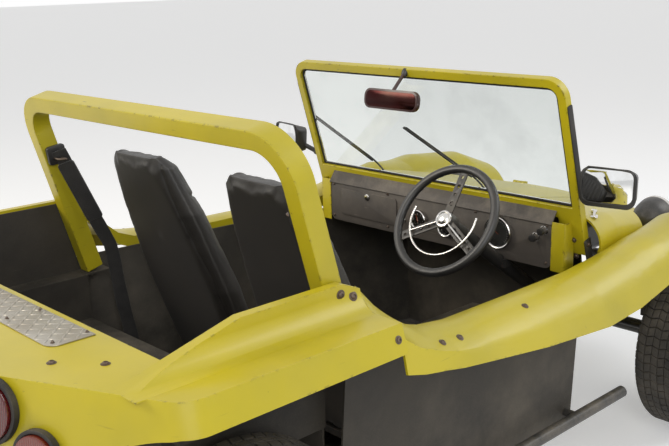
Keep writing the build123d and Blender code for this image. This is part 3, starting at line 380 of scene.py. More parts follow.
def glassFinish(name, tint, rough):
    material, tree, shader = newMaterial(name, Roughness=rough, IOR=1.45, Transmission_Weight=1.0)
    film = ramp(tree, noiseAt(tree, objectPlace(tree), 7.0, 5.0), 0.45, 0.85)
    feed(tree, shader.inputs["Base Color"], mixColour(tree, film, tint, shade(tint, 0.86)))
    return material


def mirrorFinish(name, clear, hazy):
    material, tree, shader = newMaterial(name, Metallic=1.0)
    haze = ramp(tree, noiseAt(tree, objectPlace(tree), 30.0, 4.0), 0.3, 0.9)
    feed(tree, shader.inputs["Base Color"], mixColour(tree, haze, clear, hazy))
    feed(tree, shader.inputs["Roughness"], times(tree, haze, 0.12))
    return material


def clothFinish(name, colour, across, along):
    # Belt webbing: a fine twill of threads across and along the strap, with painted shade in the gaps between
    # the threads
    material, tree, shader = newMaterial(name, Roughness=0.82, Sheen_Weight=0.4)
    place = objectPlace(tree)
    weaveAndShade = times(tree, bandsAt(tree, place, "Y", across), bandsAt(tree, place, "Z", along))
    # painted shade: where the weave is low, in the gaps between threads, the colour drops to half
    tone = mixColour(tree, weaveAndShade, shade(colour, 0.5), colour)
    faded = ramp(tree, noiseAt(tree, place, 11.0, 3.0), 0.4, 0.75)
    feed(tree, shader.inputs["Base Color"], mixColour(tree, faded, tone, shade(colour, 1.7)))
    addBump(tree, shader, weaveAndShade, 0.6, 0.0008)
    return material


def plainFinish(name, colour, rough):
    # Printed or lacquered small parts: one colour with fine grain
    material, tree, shader = newMaterial(name, Roughness=rough)
    grain = ramp(tree, noiseAt(tree, objectPlace(tree), 350.0, 3.0), 0.25, 0.85)
    feed(tree, shader.inputs["Base Color"], mixColour(tree, grain, colour, shade(colour, 0.8)))
    addBump(tree, shader, grain, 0.15, 0.0003)
    return material


finishes = {
    **{name: paintedFinish(name, look) for name, look in paintLooks.items()},
    **{name: metalFinish(name, look) for name, look in metalLooks.items()},
    **{name: softFinish(name, look) for name, look in softLooks.items()},
    "beltWebbing": clothFinish("beltWebbing", (0.020, 0.018, 0.016), 190.0, 150.0),
    "stopRed": lensFinish("stopRed", (0.115, 0.005, 0.006), 70.0),
    "turnOrange": lensFinish("turnOrange", (0.20, 0.020, 0.007), 80.0),
    "lampGlass": glassFinish("lampGlass", (0.95, 0.96, 0.95), 0.04),
    "screenGlass": glassFinish("screenGlass", (0.93, 0.97, 0.95), 0.0),
    "mirrorGlass": mirrorFinish("mirrorGlass", (0.85, 0.86, 0.86), (0.70, 0.70, 0.68)),
    "dialWhite": plainFinish("dialWhite", (0.60, 0.58, 0.52), 0.6),
    "needleRed": plainFinish("needleRed", (0.55, 0.10, 0.03), 0.5),
}
print("finishes ready,", len(finishes))


# Modelling helpers

def deselect():
    bpy.ops.object.select_all(action="DESELECT")


def makeActive(piece):
    deselect()
    piece.select_set(True)
    bpy.context.view_layer.objects.active = piece


def editPiece(piece, select="DESELECT"):
    makeActive(piece)
    bpy.ops.object.mode_set(mode="EDIT")
    bpy.ops.mesh.select_all(action=select)


def endEdit():
    bpy.ops.object.mode_set(mode="OBJECT")


def pickFaces(piece, test):
    # Selects faces by their place or normal; called in edit mode
    bpy.ops.object.mode_set(mode="OBJECT")
    for face in piece.data.polygons:
        face.select = bool(test(face.center, face.normal))
    bpy.ops.object.mode_set(mode="EDIT")


def cutFaces(piece, test):
    editPiece(piece)
    pickFaces(piece, test)
    bpy.ops.mesh.delete(type="FACE")
    endEdit()


def turnOutwards():
    bpy.ops.mesh.select_all(action="SELECT")
    bpy.ops.mesh.normals_make_consistent(inside=False)


def applyAll(piece):
    makeActive(piece)
    for modifier in list(piece.modifiers):
        bpy.ops.object.modifier_apply(modifier=modifier.name)


def modify(piece, kind, **settings):
    modifier = piece.modifiers.new(kind.lower(), kind)
    for key, value in settings.items():
        setattr(modifier, key, value)
    applyAll(piece)


def bevelEdges(piece, width, segments=2, angle=32):
    modify(piece, "BEVEL", width=width, segments=segments, limit_method="ANGLE",
           angle_limit=math.radians(angle), use_clamp_overlap=True)


def smoothPiece(piece, angle):
    makeActive(piece)
    bpy.ops.object.shade_smooth_by_angle(angle=math.radians(angle))


def settle(piece):
    # Puts the object's place into its mesh
    makeActive(piece)
    bpy.ops.object.transform_apply(location=True, rotation=True, scale=True)


def standOn(piece, place, axis, upAxis="Y"):
    # Turns the piece's z to the axis and moves it to its place
    turn = Vector(axis).to_track_quat("Z", upAxis)
    piece.matrix_world = Matrix.LocRotScale(Vector(place), turn, None)
    settle(piece)


def finishPiece(piece, finish, body="body", replaces=()):
    piece.data.materials.clear()
    piece.data.materials.append(finishes[finish])
    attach(piece, body)
    if replaces:
        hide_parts(*replaces)
    return piece


def nodeCopy(node, name):
    # A merged copy of a CAD node, to shape further
    piece = newObject(name, nodes[node].data.copy())
    makeActive(piece)
    bpy.ops.mesh.customdata_custom_splitnormals_clear()
    editPiece(piece, "SELECT")
    bpy.ops.mesh.remove_doubles(threshold=0.00004)
    bpy.ops.mesh.dissolve_limited(angle_limit=math.radians(0.6))
    endEdit()
    return piece


def roundedCopy(node, name, width, smooth, segments=2, angle=32):
    piece = nodeCopy(node, name)
    bevelEdges(piece, width, segments, angle)
    smoothPiece(piece, smooth)
    return piece


def joinPieces(pieces, name):
    deselect()
    for piece in pieces:
        piece.select_set(True)
    bpy.context.view_layer.objects.active = pieces[0]
    bpy.ops.object.join()
    joined = bpy.context.view_layer.objects.active
    joined.name = name
    return joined


def copyPiece(piece, name):
    other = piece.copy()
    other.data = piece.data.copy()
    other.name = name
    bpy.context.scene.collection.objects.link(other)
    return other


def mirrorCopy(piece, name):
    # The same piece on the other side of the car, with its own mesh
    other = copyPiece(piece, name)
    other.parent = None
    other.data.transform(Matrix.Diagonal((1, -1, 1, 1)))
    other.data.flip_normals()
    return other


def turnedPiece(name, profile, place, axis, steps=48, twist=None):
    # Rings of (radius, distance along the axis), extruded one from the next
    least = 0.0001  # a ring on the axis keeps this radius until it is merged
    deselect()
    radius, along = profile[0]
    bpy.ops.mesh.primitive_circle_add(vertices=steps, radius=max(radius, least), location=(0, 0, along))
    piece = bpy.context.active_object
    settle(piece)
    piece.name = name
    editPiece(piece, "SELECT")
    for number, (nextRadius, nextAlong) in enumerate(profile[1:], 1):
        bpy.ops.mesh.extrude_edges_move(TRANSFORM_OT_translate={"value": (0, 0, nextAlong - along)})
        share = max(nextRadius, least) / max(radius, least)
        bpy.ops.transform.resize(value=(share, share, 1), center_override=(0, 0, nextAlong))
        if twist and number in twist:
            bpy.ops.transform.rotate(value=math.radians(twist[number]), orient_axis="Z",
                                     center_override=(0, 0, 0))
        radius, along = nextRadius, nextAlong
    bpy.ops.mesh.select_all(action="SELECT")
    bpy.ops.mesh.remove_doubles(threshold=0.0003)
    bpy.ops.mesh.fill_holes(sides=0)
    bpy.ops.mesh.normals_make_consistent(inside=False)
    endEdit()
    standOn(piece, place, axis)
    return piece


def boltHead(name, place, out, radius, tall):
    # Washer and hexagon head, standing on a face that points to out
    thin = 0.0014
    deselect()
    bpy.ops.mesh.primitive_cylinder_add(vertices=18, radius=radius * 1.55, depth=thin,
                                        location=(0, 0, thin / 2))
    washer = bpy.context.active_object
    bpy.ops.mesh.primitive_cylinder_add(vertices=6, radius=radius, depth=tall,
                                        location=(0, 0, thin + tall / 2))
    bolt = joinPieces([washer, bpy.context.active_object], name)
    settle(bolt)
    bevelEdges(bolt, 0.0006, 1)
    standOn(bolt, place, out)
    return bolt


# The car's shells and metalwork, taken from the frame with their edges rounded

dressedNodes = (
    # node, finish, width of the rounded edge, smoothing angle
    ("rear_body", "bodyYellow", 0.004, 40),
    ("side_bodies", "bodyYellow", 0.003, 42),
    ("nose", "bodyYellow", 0.002, 42),
    ("hood", "bodyYellow", 0.002, 42),
    ("roll_hoop", "hoopYellow", 0.0045, 35),
    ("windscreen_frame", "hoopYellow", 0.003, 35),
    ("floor_pan", "blackPaint", 0.001, 35),
    ("chassis_frame", "blackPaint", 0.002, 35),
    ("tub", "darkTub", 0.0015, 35),
    ("rear_tub", "darkTub", 0.0015, 35),
    ("tail_lamp_bezels", "sealRubber", 0.003, 40),
    ("stop_lamp_lenses", "stopRed", 0.004, 40),
    ("turn_lamp_lenses", "turnOrange", 0.004, 40),
    ("head_lamp_buckets", "blackPaint", 0.002, 40),
    ("bumpers", "blackPaint", 0.001, 40),
    ("side_bars", "blackPaint", 0.001, 40),
    ("seat_frames", "blackPaint", 0.002, 35),
    ("fuel_tank", "blackPaint", 0.003, 40),
    ("steering_column", "blackPaint", 0.002, 40),
    ("front_axle", "blackPaint", 0.002, 40),
    ("rear_axle", "castAlloy", 0.003, 40),
    ("knuckle_left", "blackPaint", 0.002, 40),
    ("knuckle_right", "blackPaint", 0.002, 40),
    ("track_rod", "blackPaint", 0.001, 40),
    ("engine", "castAlloy", 0.0015, 38),
    ("exhaust", "exhaustSteel", 0.001, 40),
)
ownBodies = ("hood", "knuckle_left", "knuckle_right", "track_rod")  # these nodes move, each on its own body


def dressNodes():
    for node, finish, width, smooth in dressedNodes:
        piece = roundedCopy(node, node + "Skin", width, smooth)
        modify(piece, "WEIGHTED_NORMAL", keep_sharp=True, weight=100)  # flat faces keep their own normal
        finishPiece(piece, finish, node if node in ownBodies else "body", (node,))
    pane = nodes["windscreen_glass"]
    pane.data.materials.clear()
    pane.data.materials.append(finishes["screenGlass"])
    print("nodes dressed")


dressNodes()


# Tyres with cut blocks, one shape for the front pair and one for the rear

wheelColumns = ("radius", "width", "rimHalf", "x", "track", "rows", "blocks", "disc")
wheels = {
    "front": dict(zip(wheelColumns, (0.314, 0.179, 0.075, 1.0765, 0.663, 5, 62, 0.012))),
    "rear": dict(zip(wheelColumns, (0.335, 0.245, 0.1025, -0.9965, 0.707, 7, 66, 0.008))),
}
wheelSides = (("left", 1), ("right", -1))
tyreLook = {"seat": 0.1904, "rimGap": 0.0103, "blockTall": 0.0065, "blockCut": 0.0021, "shoulder": 0.014,
            "shoulderCut": 0.0030, "shoulderTall": 0.0045, "sink": 0.0002}


def makeTyre(name, wheel, look):
    radius, half, bead = wheel["radius"], wheel["width"] / 2, wheel["rimHalf"] - look["rimGap"]
    tread, middle = half - look["shoulder"], (0.190 + radius) / 2 - 0.004
    base, rowEdge = radius - look["blockTall"], tread - look["shoulder"]
    outside = [
        (look["seat"], bead), (0.206, bead), (0.2085, bead + 0.0035), (middle - 0.026, half - 0.0045),
        (middle - 0.0245, half - 0.0025), (middle - 0.004, half - 0.0008), (middle + 0.012, half),
        (middle + 0.022, half - 0.0006), (middle + 0.0235, half - 0.003), (radius - 0.026, tread + 0.001),
        (radius - 0.016, tread - 0.003), (base, tread - 0.012)]
    count, first = wheel["rows"] + 1, len(outside)
    across = [rowEdge * (1 - 2 * k / wheel["rows"]) for k in range(count)]
    ring = outside + [(base, a) for a in across] + [(r, -a) for r, a in outside[::-1]] + [outside[0]]
    swing = 90 / wheel["blocks"]
    twist = {first + k: (swing if k % 2 else -swing) for k in range(count)}
    tyre = turnedPiece(name, ring, (0, 0, 0), (0, 0, 1), wheel["blocks"], twist)
    editPiece(tyre)
    pickFaces(tyre, lambda c, n: math.hypot(c.x, c.y) > base - 0.0015 and abs(c.z) < rowEdge + 0.001)
    bpy.ops.mesh.inset(thickness=look["blockCut"], depth=look["blockTall"] - 0.0004, use_individual=True)
    pickFaces(tyre, lambda c, n: base - 0.012 < math.hypot(c.x, c.y) < base - 0.001
              and rowEdge < abs(c.z) < tread)
    bpy.ops.mesh.inset(thickness=look["shoulderCut"], depth=look["shoulderTall"], use_individual=True)
    turnOutwards()
    endEdit()
    limit = radius - look["sink"]  # no block reaches below the ground
    for vertex in tyre.data.vertices:
        far = math.hypot(vertex.co.x, vertex.co.y)
        if far > limit:
            vertex.co = Vector((vertex.co.x * limit / far, vertex.co.y * limit / far, vertex.co.z))
    smoothPiece(tyre, 30)
    return tyre


def makeTyres():
    for end, wheel in wheels.items():
        pattern = makeTyre("tyrePattern", wheel, tyreLook)
        for sideName, side in wheelSides:
            piece = copyPiece(pattern, f"tyre_{end}_{sideName}_tread")
            standOn(piece, (wheel["x"], side * wheel["track"], wheel["radius"]), (0, side, 0), "X")
            finishPiece(piece, "tyreRubber", f"wheel_{end}_{sideName}", (f"tyre_{end}_{sideName}",))
        bpy.data.objects.remove(pattern)
    print("tyres made")


makeTyres()


# Seats: padded vinyl, blown up as cloth and then sewn

cushionLooks = {
    "seat_backs": {"name": "seatBack", "shrink": 0.985, "cap": 0.010},
    "seat_bases": {"name": "seatBase", "shrink": 0.975, "cap": 0.014},
}
stuffing = {"voxel": 0.0060, "pressure": 4.0, "lastFrame": 20, "keep": 0.5, "middle": 0.277}
clothSettings = {"quality": 4, "mass": 0.3, "use_pressure": True,
                 "uniform_pressure_force": stuffing["pressure"],
                 "tension_stiffness": 15, "compression_stiffness": 15, "bending_stiffness": 0.5}


def blowUp(piece, cap):
    # Cloth under pressure, stopped where a point has moved as far as the cap
    start = [v.co.copy() for v in piece.data.vertices]
    scene = bpy.context.scene
    cloth = piece.modifiers.new("stuffing", "CLOTH")
    for key, value in clothSettings.items():
        setattr(cloth.settings, key, value)
    cloth.settings.effector_weights.gravity = 0
    cloth.collision_settings.use_collision = False
    cloth.point_cache.frame_start, cloth.point_cache.frame_end = 1, stuffing["lastFrame"]
    for step in range(1, stuffing["lastFrame"] + 1):
        scene.frame_set(step)
    applyAll(piece)
    scene.frame_set(1)
    for vertex, old in zip(piece.data.vertices, start):
        move = vertex.co - old
        if move.length > cap:
            vertex.co = old + move.normalized() * cap


def groove(distance, width, depth):
    return -depth * math.exp(-(distance / width) ** 2)


def withNormals(piece):
    # All normals are read before the first vertex moves
    return list(zip(piece.data.vertices, [v.normal.copy() for v in piece.data.vertices]))


backSewing = {"half": 0.198, "taper": 0.16, "taperFrom": 0.75,
              "flutes": (-0.10, -0.06, -0.02, 0.02, 0.06, 0.10),
              "fluteLow": 0.42, "fluteHigh": 0.98, "flute": (0.006, 0.007), "foot": 0.4, "sideIn": 0.045,
              "side": (0.0055, 0.006), "headSeam": 1.005, "head": (0.006, 0.006), "rearIn": 0.018,
              "rear": (0.0040, 0.0035), "rolled": (0.12, 0.0025)}
baseSewing = {"flutes": (-0.09, -0.045, 0.0, 0.045, 0.09), "flute": (0.007, 0.008), "backSeam": -0.20,
              "frontSeam": 0.14, "ends": (0.006, 0.006), "sideSeam": 0.135, "side": (0.006, 0.008)}


def sewBack(piece, middle):
    # Fluted insert in front, a seam across the head and a rolled edge behind
    s = backSewing
    for vertex, normal in withNormals(piece):
        y, z = vertex.co.y - middle, vertex.co.z
        wide = s["half"] - s["taper"] * max(0.0, z - s["taperFrom"])
        sink = 0.0
        if normal.x > 0.35:
            if s["fluteLow"] < z < s["fluteHigh"]:
                sink += sum(groove(y - flute, *s["flute"]) for flute in s["flutes"])
            if z > s["foot"]:
                sink += groove(abs(y) - (wide - s["sideIn"]), *s["side"])
            if abs(y) < wide:
                sink += groove(z - s["headSeam"], *s["head"])
        if normal.x < -0.3 and z > s["foot"]:
            sink += groove(abs(y) - (wide - s["rearIn"]), *s["rear"])
        if 0.0 < abs(normal.x) < 0.45:
            sink += groove(normal.x + 0.12, *s["rolled"])
        vertex.co += normal * sink


def sewBase(piece, middle):
    s = baseSewing
    for vertex, normal in withNormals(piece):
        y, x = vertex.co.y - middle, vertex.co.x
        if normal.z > 0.4:
            sink = groove(abs(y) - s["sideSeam"], *s["side"])
            sink += groove(x - s["backSeam"], *s["ends"]) + groove(x - s["frontSeam"], *s["ends"])
            if s["backSeam"] < x < s["frontSeam"]:
                sink += sum(groove(y - flute, *s["flute"]) for flute in s["flutes"])
            vertex.co += normal * sink


def makeCushions():
    for node, look in cushionLooks.items():
        left = nodeCopy(node, look["name"] + "Left")
        cutFaces(left, lambda c, n: c.y < 0)
        left.data.remesh_voxel_size = stuffing["voxel"]
        makeActive(left)
        bpy.ops.object.voxel_remesh()
        low, high = (Vector([pick(v.co[k] for v in left.data.vertices) for k in range(3)])
                     for pick in (min, max))
        centre = (low + high) / 2
        shrink = Matrix.Scale(look["shrink"], 4)
        left.data.transform(Matrix.Translation(centre) @ shrink @ Matrix.Translation(-centre))
        blowUp(left, look["cap"])
        modify(left, "SMOOTH", iterations=6, factor=0.5)
        modify(left, "SUBSURF", levels=1, render_levels=1)
        (sewBack if node == "seat_backs" else sewBase)(left, stuffing["middle"])
        modify(left, "DECIMATE", ratio=stuffing["keep"])
        makeActive(left)
        bpy.ops.object.shade_smooth()
        right = mirrorCopy(left, look["name"] + "Right")
        for piece in (left, right):
            finishPiece(piece, "blackVinyl", "body", (node,))
    print("seats made")


makeCushions()


# Small helpers for fittings

def finishFitting(piece, finish, body, replaces, mirrored):
    finishPiece(piece, finish, body, replaces)
    if mirrored:
        finishPiece(mirrorCopy(piece, piece.name + "Mirrored"), finish, body)


def plateShape(name, place, along, out, size, corner, thick, edge, finish, replaces=(), mirrored=False):
    # Flat plate with round corners; its back lies on the place and it stands towards out
    deselect()
    bpy.ops.mesh.primitive_plane_add(size=1, location=(0, 0, 0))
    piece = bpy.context.active_object
    piece.name = name
    piece.scale = (*size, 1)
    settle(piece)
    editPiece(piece, "SELECT")
    bpy.ops.mesh.bevel(affect="VERTICES", offset=corner, segments=6)
    bpy.ops.mesh.extrude_region_move(TRANSFORM_OT_translate={"value": (0, 0, thick)})
    turnOutwards()
    endEdit()
    bevelEdges(piece, edge)
    normal = Vector(out).normalized()
    run = (Vector(along) - normal * Vector(along).dot(normal)).normalized()
    piece.matrix_world = Matrix.Translation(place) @ axesTurn(run, normal.cross(run), normal)
    settle(piece)
    smoothPiece(piece, 35)
    finishFitting(piece, finish, "body", replaces, mirrored)
    return piece


def tubeShape(name, points, radius, finish, body="body", sides=4, mirrored=False):
    # Round bar bent smoothly through the points
    curve = bpy.data.curves.new(name, "CURVE")
    curve.dimensions = "3D"
    curve.bevel_depth = radius
    curve.bevel_resolution = sides
    curve.use_fill_caps = True
    line = curve.splines.new("NURBS" if len(points) > 2 else "POLY")
    line.points.add(len(points) - 1)
    for point, place in zip(line.points, points):
        point.co = (*place, 1)
    line.use_endpoint_u = True
    line.order_u = 3
    line.resolution_u = 8
    makeActive(newObject(name, curve))
    bpy.ops.object.convert(target="MESH")
    piece = bpy.context.active_object
    smoothPiece(piece, 40)
    finishFitting(piece, finish, body, (), mirrored)


def turnedFitting(name, profile, place, axis, finish, body="body", steps=32, replaces=(), mirrored=False):
    piece = turnedPiece(name, profile, place, axis, steps)
    smoothPiece(piece, 35)
    finishFitting(piece, finish, body, replaces, mirrored)


# Shares of the radius, and heights, from the hidden foot of the washer to the head's sunk middle
coachProfile = ((1.5, -0.002), (1.5, 0.0010), (1.4, 0.0014), (1.0, 0.0016), (1.0, 0.0030), (0.85, 0.0046),
                (0.5, 0.0056), (0.46, 0.0040), (0, 0.0040))


def coachBolts(name, places, radius, mirrored=True):
    # Low round heads on washers, each standing on the surface at its place
    profile = [(radius * share, along) for share, along in coachProfile]
    heads = [turnedPiece(f"{name}{number}", profile, place, out, 18)
             for number, (place, out) in enumerate(places)]
    piece = joinPieces(heads, name)
    smoothPiece(piece, 40)
    finishFitting(piece, "boltSteel", "body", (), mirrored)


# Steering wheel: moulded grip, drilled spokes, horn ring and button

steeringLook = {
    "centre": (0.1035, -0.300, 0.885), "tilt": 35.0, "radius": 0.172, "grip": 0.0138, "spokeTrim": 0.0145,
    "notches": 40, "notchDepth": 0.0016, "seamDepth": 0.0012, "seamWidth": 0.003,
    "horn": 0.120, "hornTall": 0.012, "hornBar": 0.0036, "armBar": 0.0032, "armAngles": (30, 150),
    "arm": ((0.022, 0.006), (0.070, 0.009), (0.120, 0.012)),
    "button": ((0.0270, 0.004), (0.0278, 0.009), (0.0262, 0.0125), (0.0215, 0.0135), (0.0205, 0.0125),
               (0.0175, 0.0165), (0.010, 0.0190), (0, 0.0198)),
}


def steeringFrame(look):
    tilt = math.radians(look["tilt"])
    right, out = Vector((0, 1, 0)), Vector((-math.cos(tilt), 0, math.sin(tilt)))
    return Matrix.Translation(look["centre"]) @ axesTurn(right, out.cross(right), out)


def makeSteering(look):
    place, body = steeringFrame(look), "steering_wheel"
    centre, out = place.translation, place.to_3x3() @ Vector((0, 0, 1))

    def onWheel(radius, degrees, tall):
        angle = math.radians(degrees)
        return place @ Vector((radius * math.cos(angle), radius * math.sin(angle), tall))

    deselect()
    bpy.ops.mesh.primitive_torus_add(major_segments=144, minor_segments=20, major_radius=look["radius"],
                                     minor_radius=look["grip"])
    grip = bpy.context.active_object
    grip.name = "steeringGrip"
    for vertex in grip.data.vertices:
        x, y, z = vertex.co
        far, angle = math.hypot(x, y), math.atan2(y, x)
        if far < look["radius"] and z < 0.004:
            inwards = min(1.0, (look["radius"] - far) / look["grip"])
            notch = look["notchDepth"] * (0.5 + 0.5 * math.cos(look["notches"] * angle)) * inwards
            vertex.co = Vector((x * (far + notch) / far, y * (far + notch) / far, z))
        if z > 0.6 * look["grip"]:
            vertex.co.z += groove(far - look["radius"], look["seamWidth"], look["seamDepth"])
    grip.matrix_world = place
    settle(grip)
    smoothPiece(grip, 60)
    finishPiece(grip, "blackPlastic", body, ("steering_wheel",))
    spokes, reach = nodeCopy("steering_wheel", "steeringSpokes"), look["radius"] - look["spokeTrim"]
    cutFaces(spokes, lambda c, n: ((c - centre) - out * (c - centre).dot(out)).length > reach)
    bevelEdges(spokes, 0.0008)
    smoothPiece(spokes, 35)
    finishPiece(spokes, "blackPaint", body, ("steering_wheel",))
    arc = [onWheel(look["horn"], degrees, look["hornTall"]) for degrees in range(-10, 191, 8)]
    tubeShape("hornRing", arc, look["hornBar"], "chrome", body)
    for number, degrees in enumerate(look["armAngles"]):
        arm = [onWheel(radius, degrees, tall) for radius, tall in look["arm"]]
        tubeShape(f"hornArm{number}", arm, look["armBar"], "chrome", body)
    turnedFitting("hornButton", look["button"], centre, out, "chrome", body, 40)
    print("steering made")


makeSteering(steeringLook)


# Dashboard: dials with marks and needles, knobs, switches and the end strips

back, upwards, outwards = (-1, 0, 0), (0, 0, 1), (0, -1, 0)  # outwards is for the right side of the car
dialColumns = ("name", "y", "z", "radius", "face", "ticks", "needle")
dials = [dict(zip(dialColumns, row)) for row in (
    ("speed", -0.300, 0.792, 0.052, 0.3655, 25, -60),
    ("fuel", -0.078, 0.772, 0.034, 0.3675, 9, 35),
    ("warmth", 0.045, 0.776, 0.034, 0.3675, 9, -20),
)]
dialLook = {
    # rim profiles are added to the dial's radius
    "ring": ((0.0012, -0.008), (0.0012, 0.0030), (-0.001, 0.0052), (-0.0045, 0.0034), (-0.0060, 0.0006),
             (-0.0060, -0.006)),
    "face": ((-0.0062, -0.004), (-0.0062, 0.0002), (-0.011, 0.0004)),
    "hub": ((0.006, 0.0004), (0.0052, 0.0022), (0, 0.0024)),
    "glass": ((-0.0052, 0.0030), (-0.0052, 0.0038)),
    "glassMiddle": ((0, 0.0046), (0, 0.0030)),
    "firstMark": -130, "sweep": 260, "markIn": 0.0095, "longMark": 0.0062, "shortMark": 0.0038,
    "markSize": (0.0004, 0.0011), "markOut": 0.0007, "needleOut": 0.0026, "needleIn": 0.014, "tail": 0.008,
    "needleBar": 0.0007,
}


def widened(profile, radius):
    return [(radius + more, along) for more, along in profile]


def makeDial(dial, look):
    name, radius, ticks = dial["name"], dial["radius"], dial["ticks"]
    place = Vector((dial["face"], dial["y"], dial["z"]))
    turnedFitting(name + "Ring", widened(look["ring"], radius), place, back, "chrome", steps=56)
    turnedFitting(name + "Face", [*widened(look["face"], radius), *look["hub"]], place, back, "blackPlastic",
                  steps=56)
    marks = []
    for number in range(ticks):
        angle = math.radians(look["firstMark"] + look["sweep"] * number / (ticks - 1))
        tall = look["shortMark"] if number % 4 else look["longMark"]
        bpy.ops.mesh.primitive_cube_add(size=1, location=(0, 0, 0))
        mark = bpy.context.active_object
        mark.scale = (*look["markSize"], tall)
        settle(mark)
        spot = Matrix.Translation(place + Vector((-look["markOut"], 0, 0)))
        reach = Matrix.Translation((0, 0, radius - look["markIn"] - tall / 2))
        mark.matrix_world = spot @ Matrix.Rotation(angle, 4, "X") @ reach
        settle(mark)
        marks.append(mark)
    finishPiece(joinPieces(marks, name + "Marks"), "dialWhite")
    swing, ends = math.radians(dial["needle"]), []
    for length in (-look["tail"], radius - look["needleIn"]):
        ends.append(place + Vector((-look["needleOut"], -math.sin(swing) * length, math.cos(swing) * length)))
    tubeShape(name + "Needle", ends, look["needleBar"], "needleRed", sides=1)
    turnedFitting(name + "Glass", [*widened(look["glass"], radius), *look["glassMiddle"]], place, back,
                  "lampGlass", steps=40)


dashLook = {
    "knobs": (("light", -0.470, 0.826), ("wiper", -0.440, 0.800)), "knobX": 0.3635,
    "switches": (("choke", -0.160, 0.746), ("fan", -0.120, 0.742), ("horn", 0.120, 0.760)),
    "faceX": 0.3795, "leverX": (0.3750, 0.3590), "leverDrop": 0.007, "leverBar": 0.0022,
    "screwX": 0.3793, "screwY": (-0.480, -0.200, 0.200, 0.480), "screwZ": (0.722, 0.843), "screw": 0.0036,
    "knob": ((0.0092, -0.004), (0.0112, 0.0), (0.0122, 0.006), (0.0108, 0.0095), (0.006, 0.0105),
             (0, 0.0100)),
    "collar": ((0.0150, -0.0005), (0.0150, 0.0012), (0.0120, 0.0022), (0.0093, 0.0022)),
    "nut": ((0.0085, -0.001), (0.0085, 0.0016), (0.0065, 0.0024), (0.0052, 0.0055), (0, 0.0058)),
    "catch": ((0.0125, -0.001), (0.0125, 0.0035), (0.0095, 0.0062), (0.004, 0.0068), (0, 0.0068)),
    "catchPlace": (0.3750, 0.300, 0.817),
    "plates": (
        # name, place, along, out, size, corner, thick, edge, finish, on both sides
        ("dashTop", (0.3905, 0, 0.8690), (0, 1, 0), (-0.82, 0, 0.57), (1.000, 0.052), 0.003, 0.004, 0.0015,
         "dashGrey", False),
        ("dashEnd", (0.3800, -0.5215, 0.780), upwards, back, (0.158, 0.047), 0.003, 0.0032, 0.0010,
         "bodyYellow", True),
        ("dashEndSide", (0.4060, -0.5430, 0.780), upwards, outwards, (0.158, 0.052), 0.003, 0.0025, 0.0008,
         "bodyYellow", True),
    ),
}


def makeDash(look):
    finishPiece(roundedCopy("dashboard", "dashSkin", 0.0012, 35), "dashGrey", "body", ("dashboard",))
    for *plate, mirrored in look["plates"]:
        plateShape(*plate, mirrored=mirrored)
    for dial in dials:
        makeDial(dial, dialLook)
    for name, y, z in look["knobs"]:
        turnedFitting(name + "Knob", look["knob"], (look["knobX"], y, z), back, "blackPlastic")
        turnedFitting(name + "Collar", look["collar"], (look["faceX"], y, z), back, "chrome")
    for name, y, z in look["switches"]:
        turnedFitting(name + "Nut", look["nut"], (look["faceX"], y, z), back, "chrome", steps=18)
        foot, tip = look["leverX"]
        tubeShape(name + "Lever", [(foot, y, z), (tip, y, z - look["leverDrop"])], look["leverBar"],
                  "chrome", sides=2)
    screws = [((look["screwX"], y, z), back) for y in look["screwY"] for z in look["screwZ"]]
    coachBolts("dashScrews", screws, look["screw"], mirrored=False)
    plateShape("gloveLid", (look["faceX"], 0.300, 0.782), (0, 1, 0), back, (0.290, 0.100), 0.014, 0.0045,
               0.0012, "dashGrey")
    turnedFitting("gloveCatch", look["catch"], look["catchPlace"], back, "chrome")
    print("dashboard made")


makeDash(dashLook)


# Windscreen: rubber bead, edge rubbers, wipers, foot brackets, mirrors

screenLook = {
    "topX": 0.279, "topZ": 1.308, "rake": 0.29, "half": 0.585,
    "footBolts": (0.800, 0.745), "bracketBolts": (0.786, 0.738),
    "wiperShifts": (0.0, 0.46),
    # across, height and distance in front: pivot, elbow and end of the arm, both ends of the blade, cap
    "wiper": ((-0.205, 0.902, 0.030), (-0.180, 0.930, 0.036), (-0.030, 1.020, 0.028),
              (-0.165, 0.946, 0.021), (0.105, 1.092, 0.021), (-0.205, 0.902, 0.014)),
    "wiperCap": ((0.0130, -0.004), (0.0130, 0.004), (0.0095, 0.010), (0.0085, 0.018), (0.005, 0.021),
                 (0, 0.0215)),
}
screenLean = math.atan(screenLook["rake"])
screenOut = Vector((math.cos(screenLean), 0, math.sin(screenLean)))
screenDown = Vector((math.sin(screenLean), 0, -math.cos(screenLean)))


def screenPoint(y, z, out=0.0):
    x = screenLook["topX"] + screenLook["rake"] * (screenLook["topZ"] - z)
    return Vector((x + out * math.cos(screenLean), y, z + out * math.sin(screenLean)))


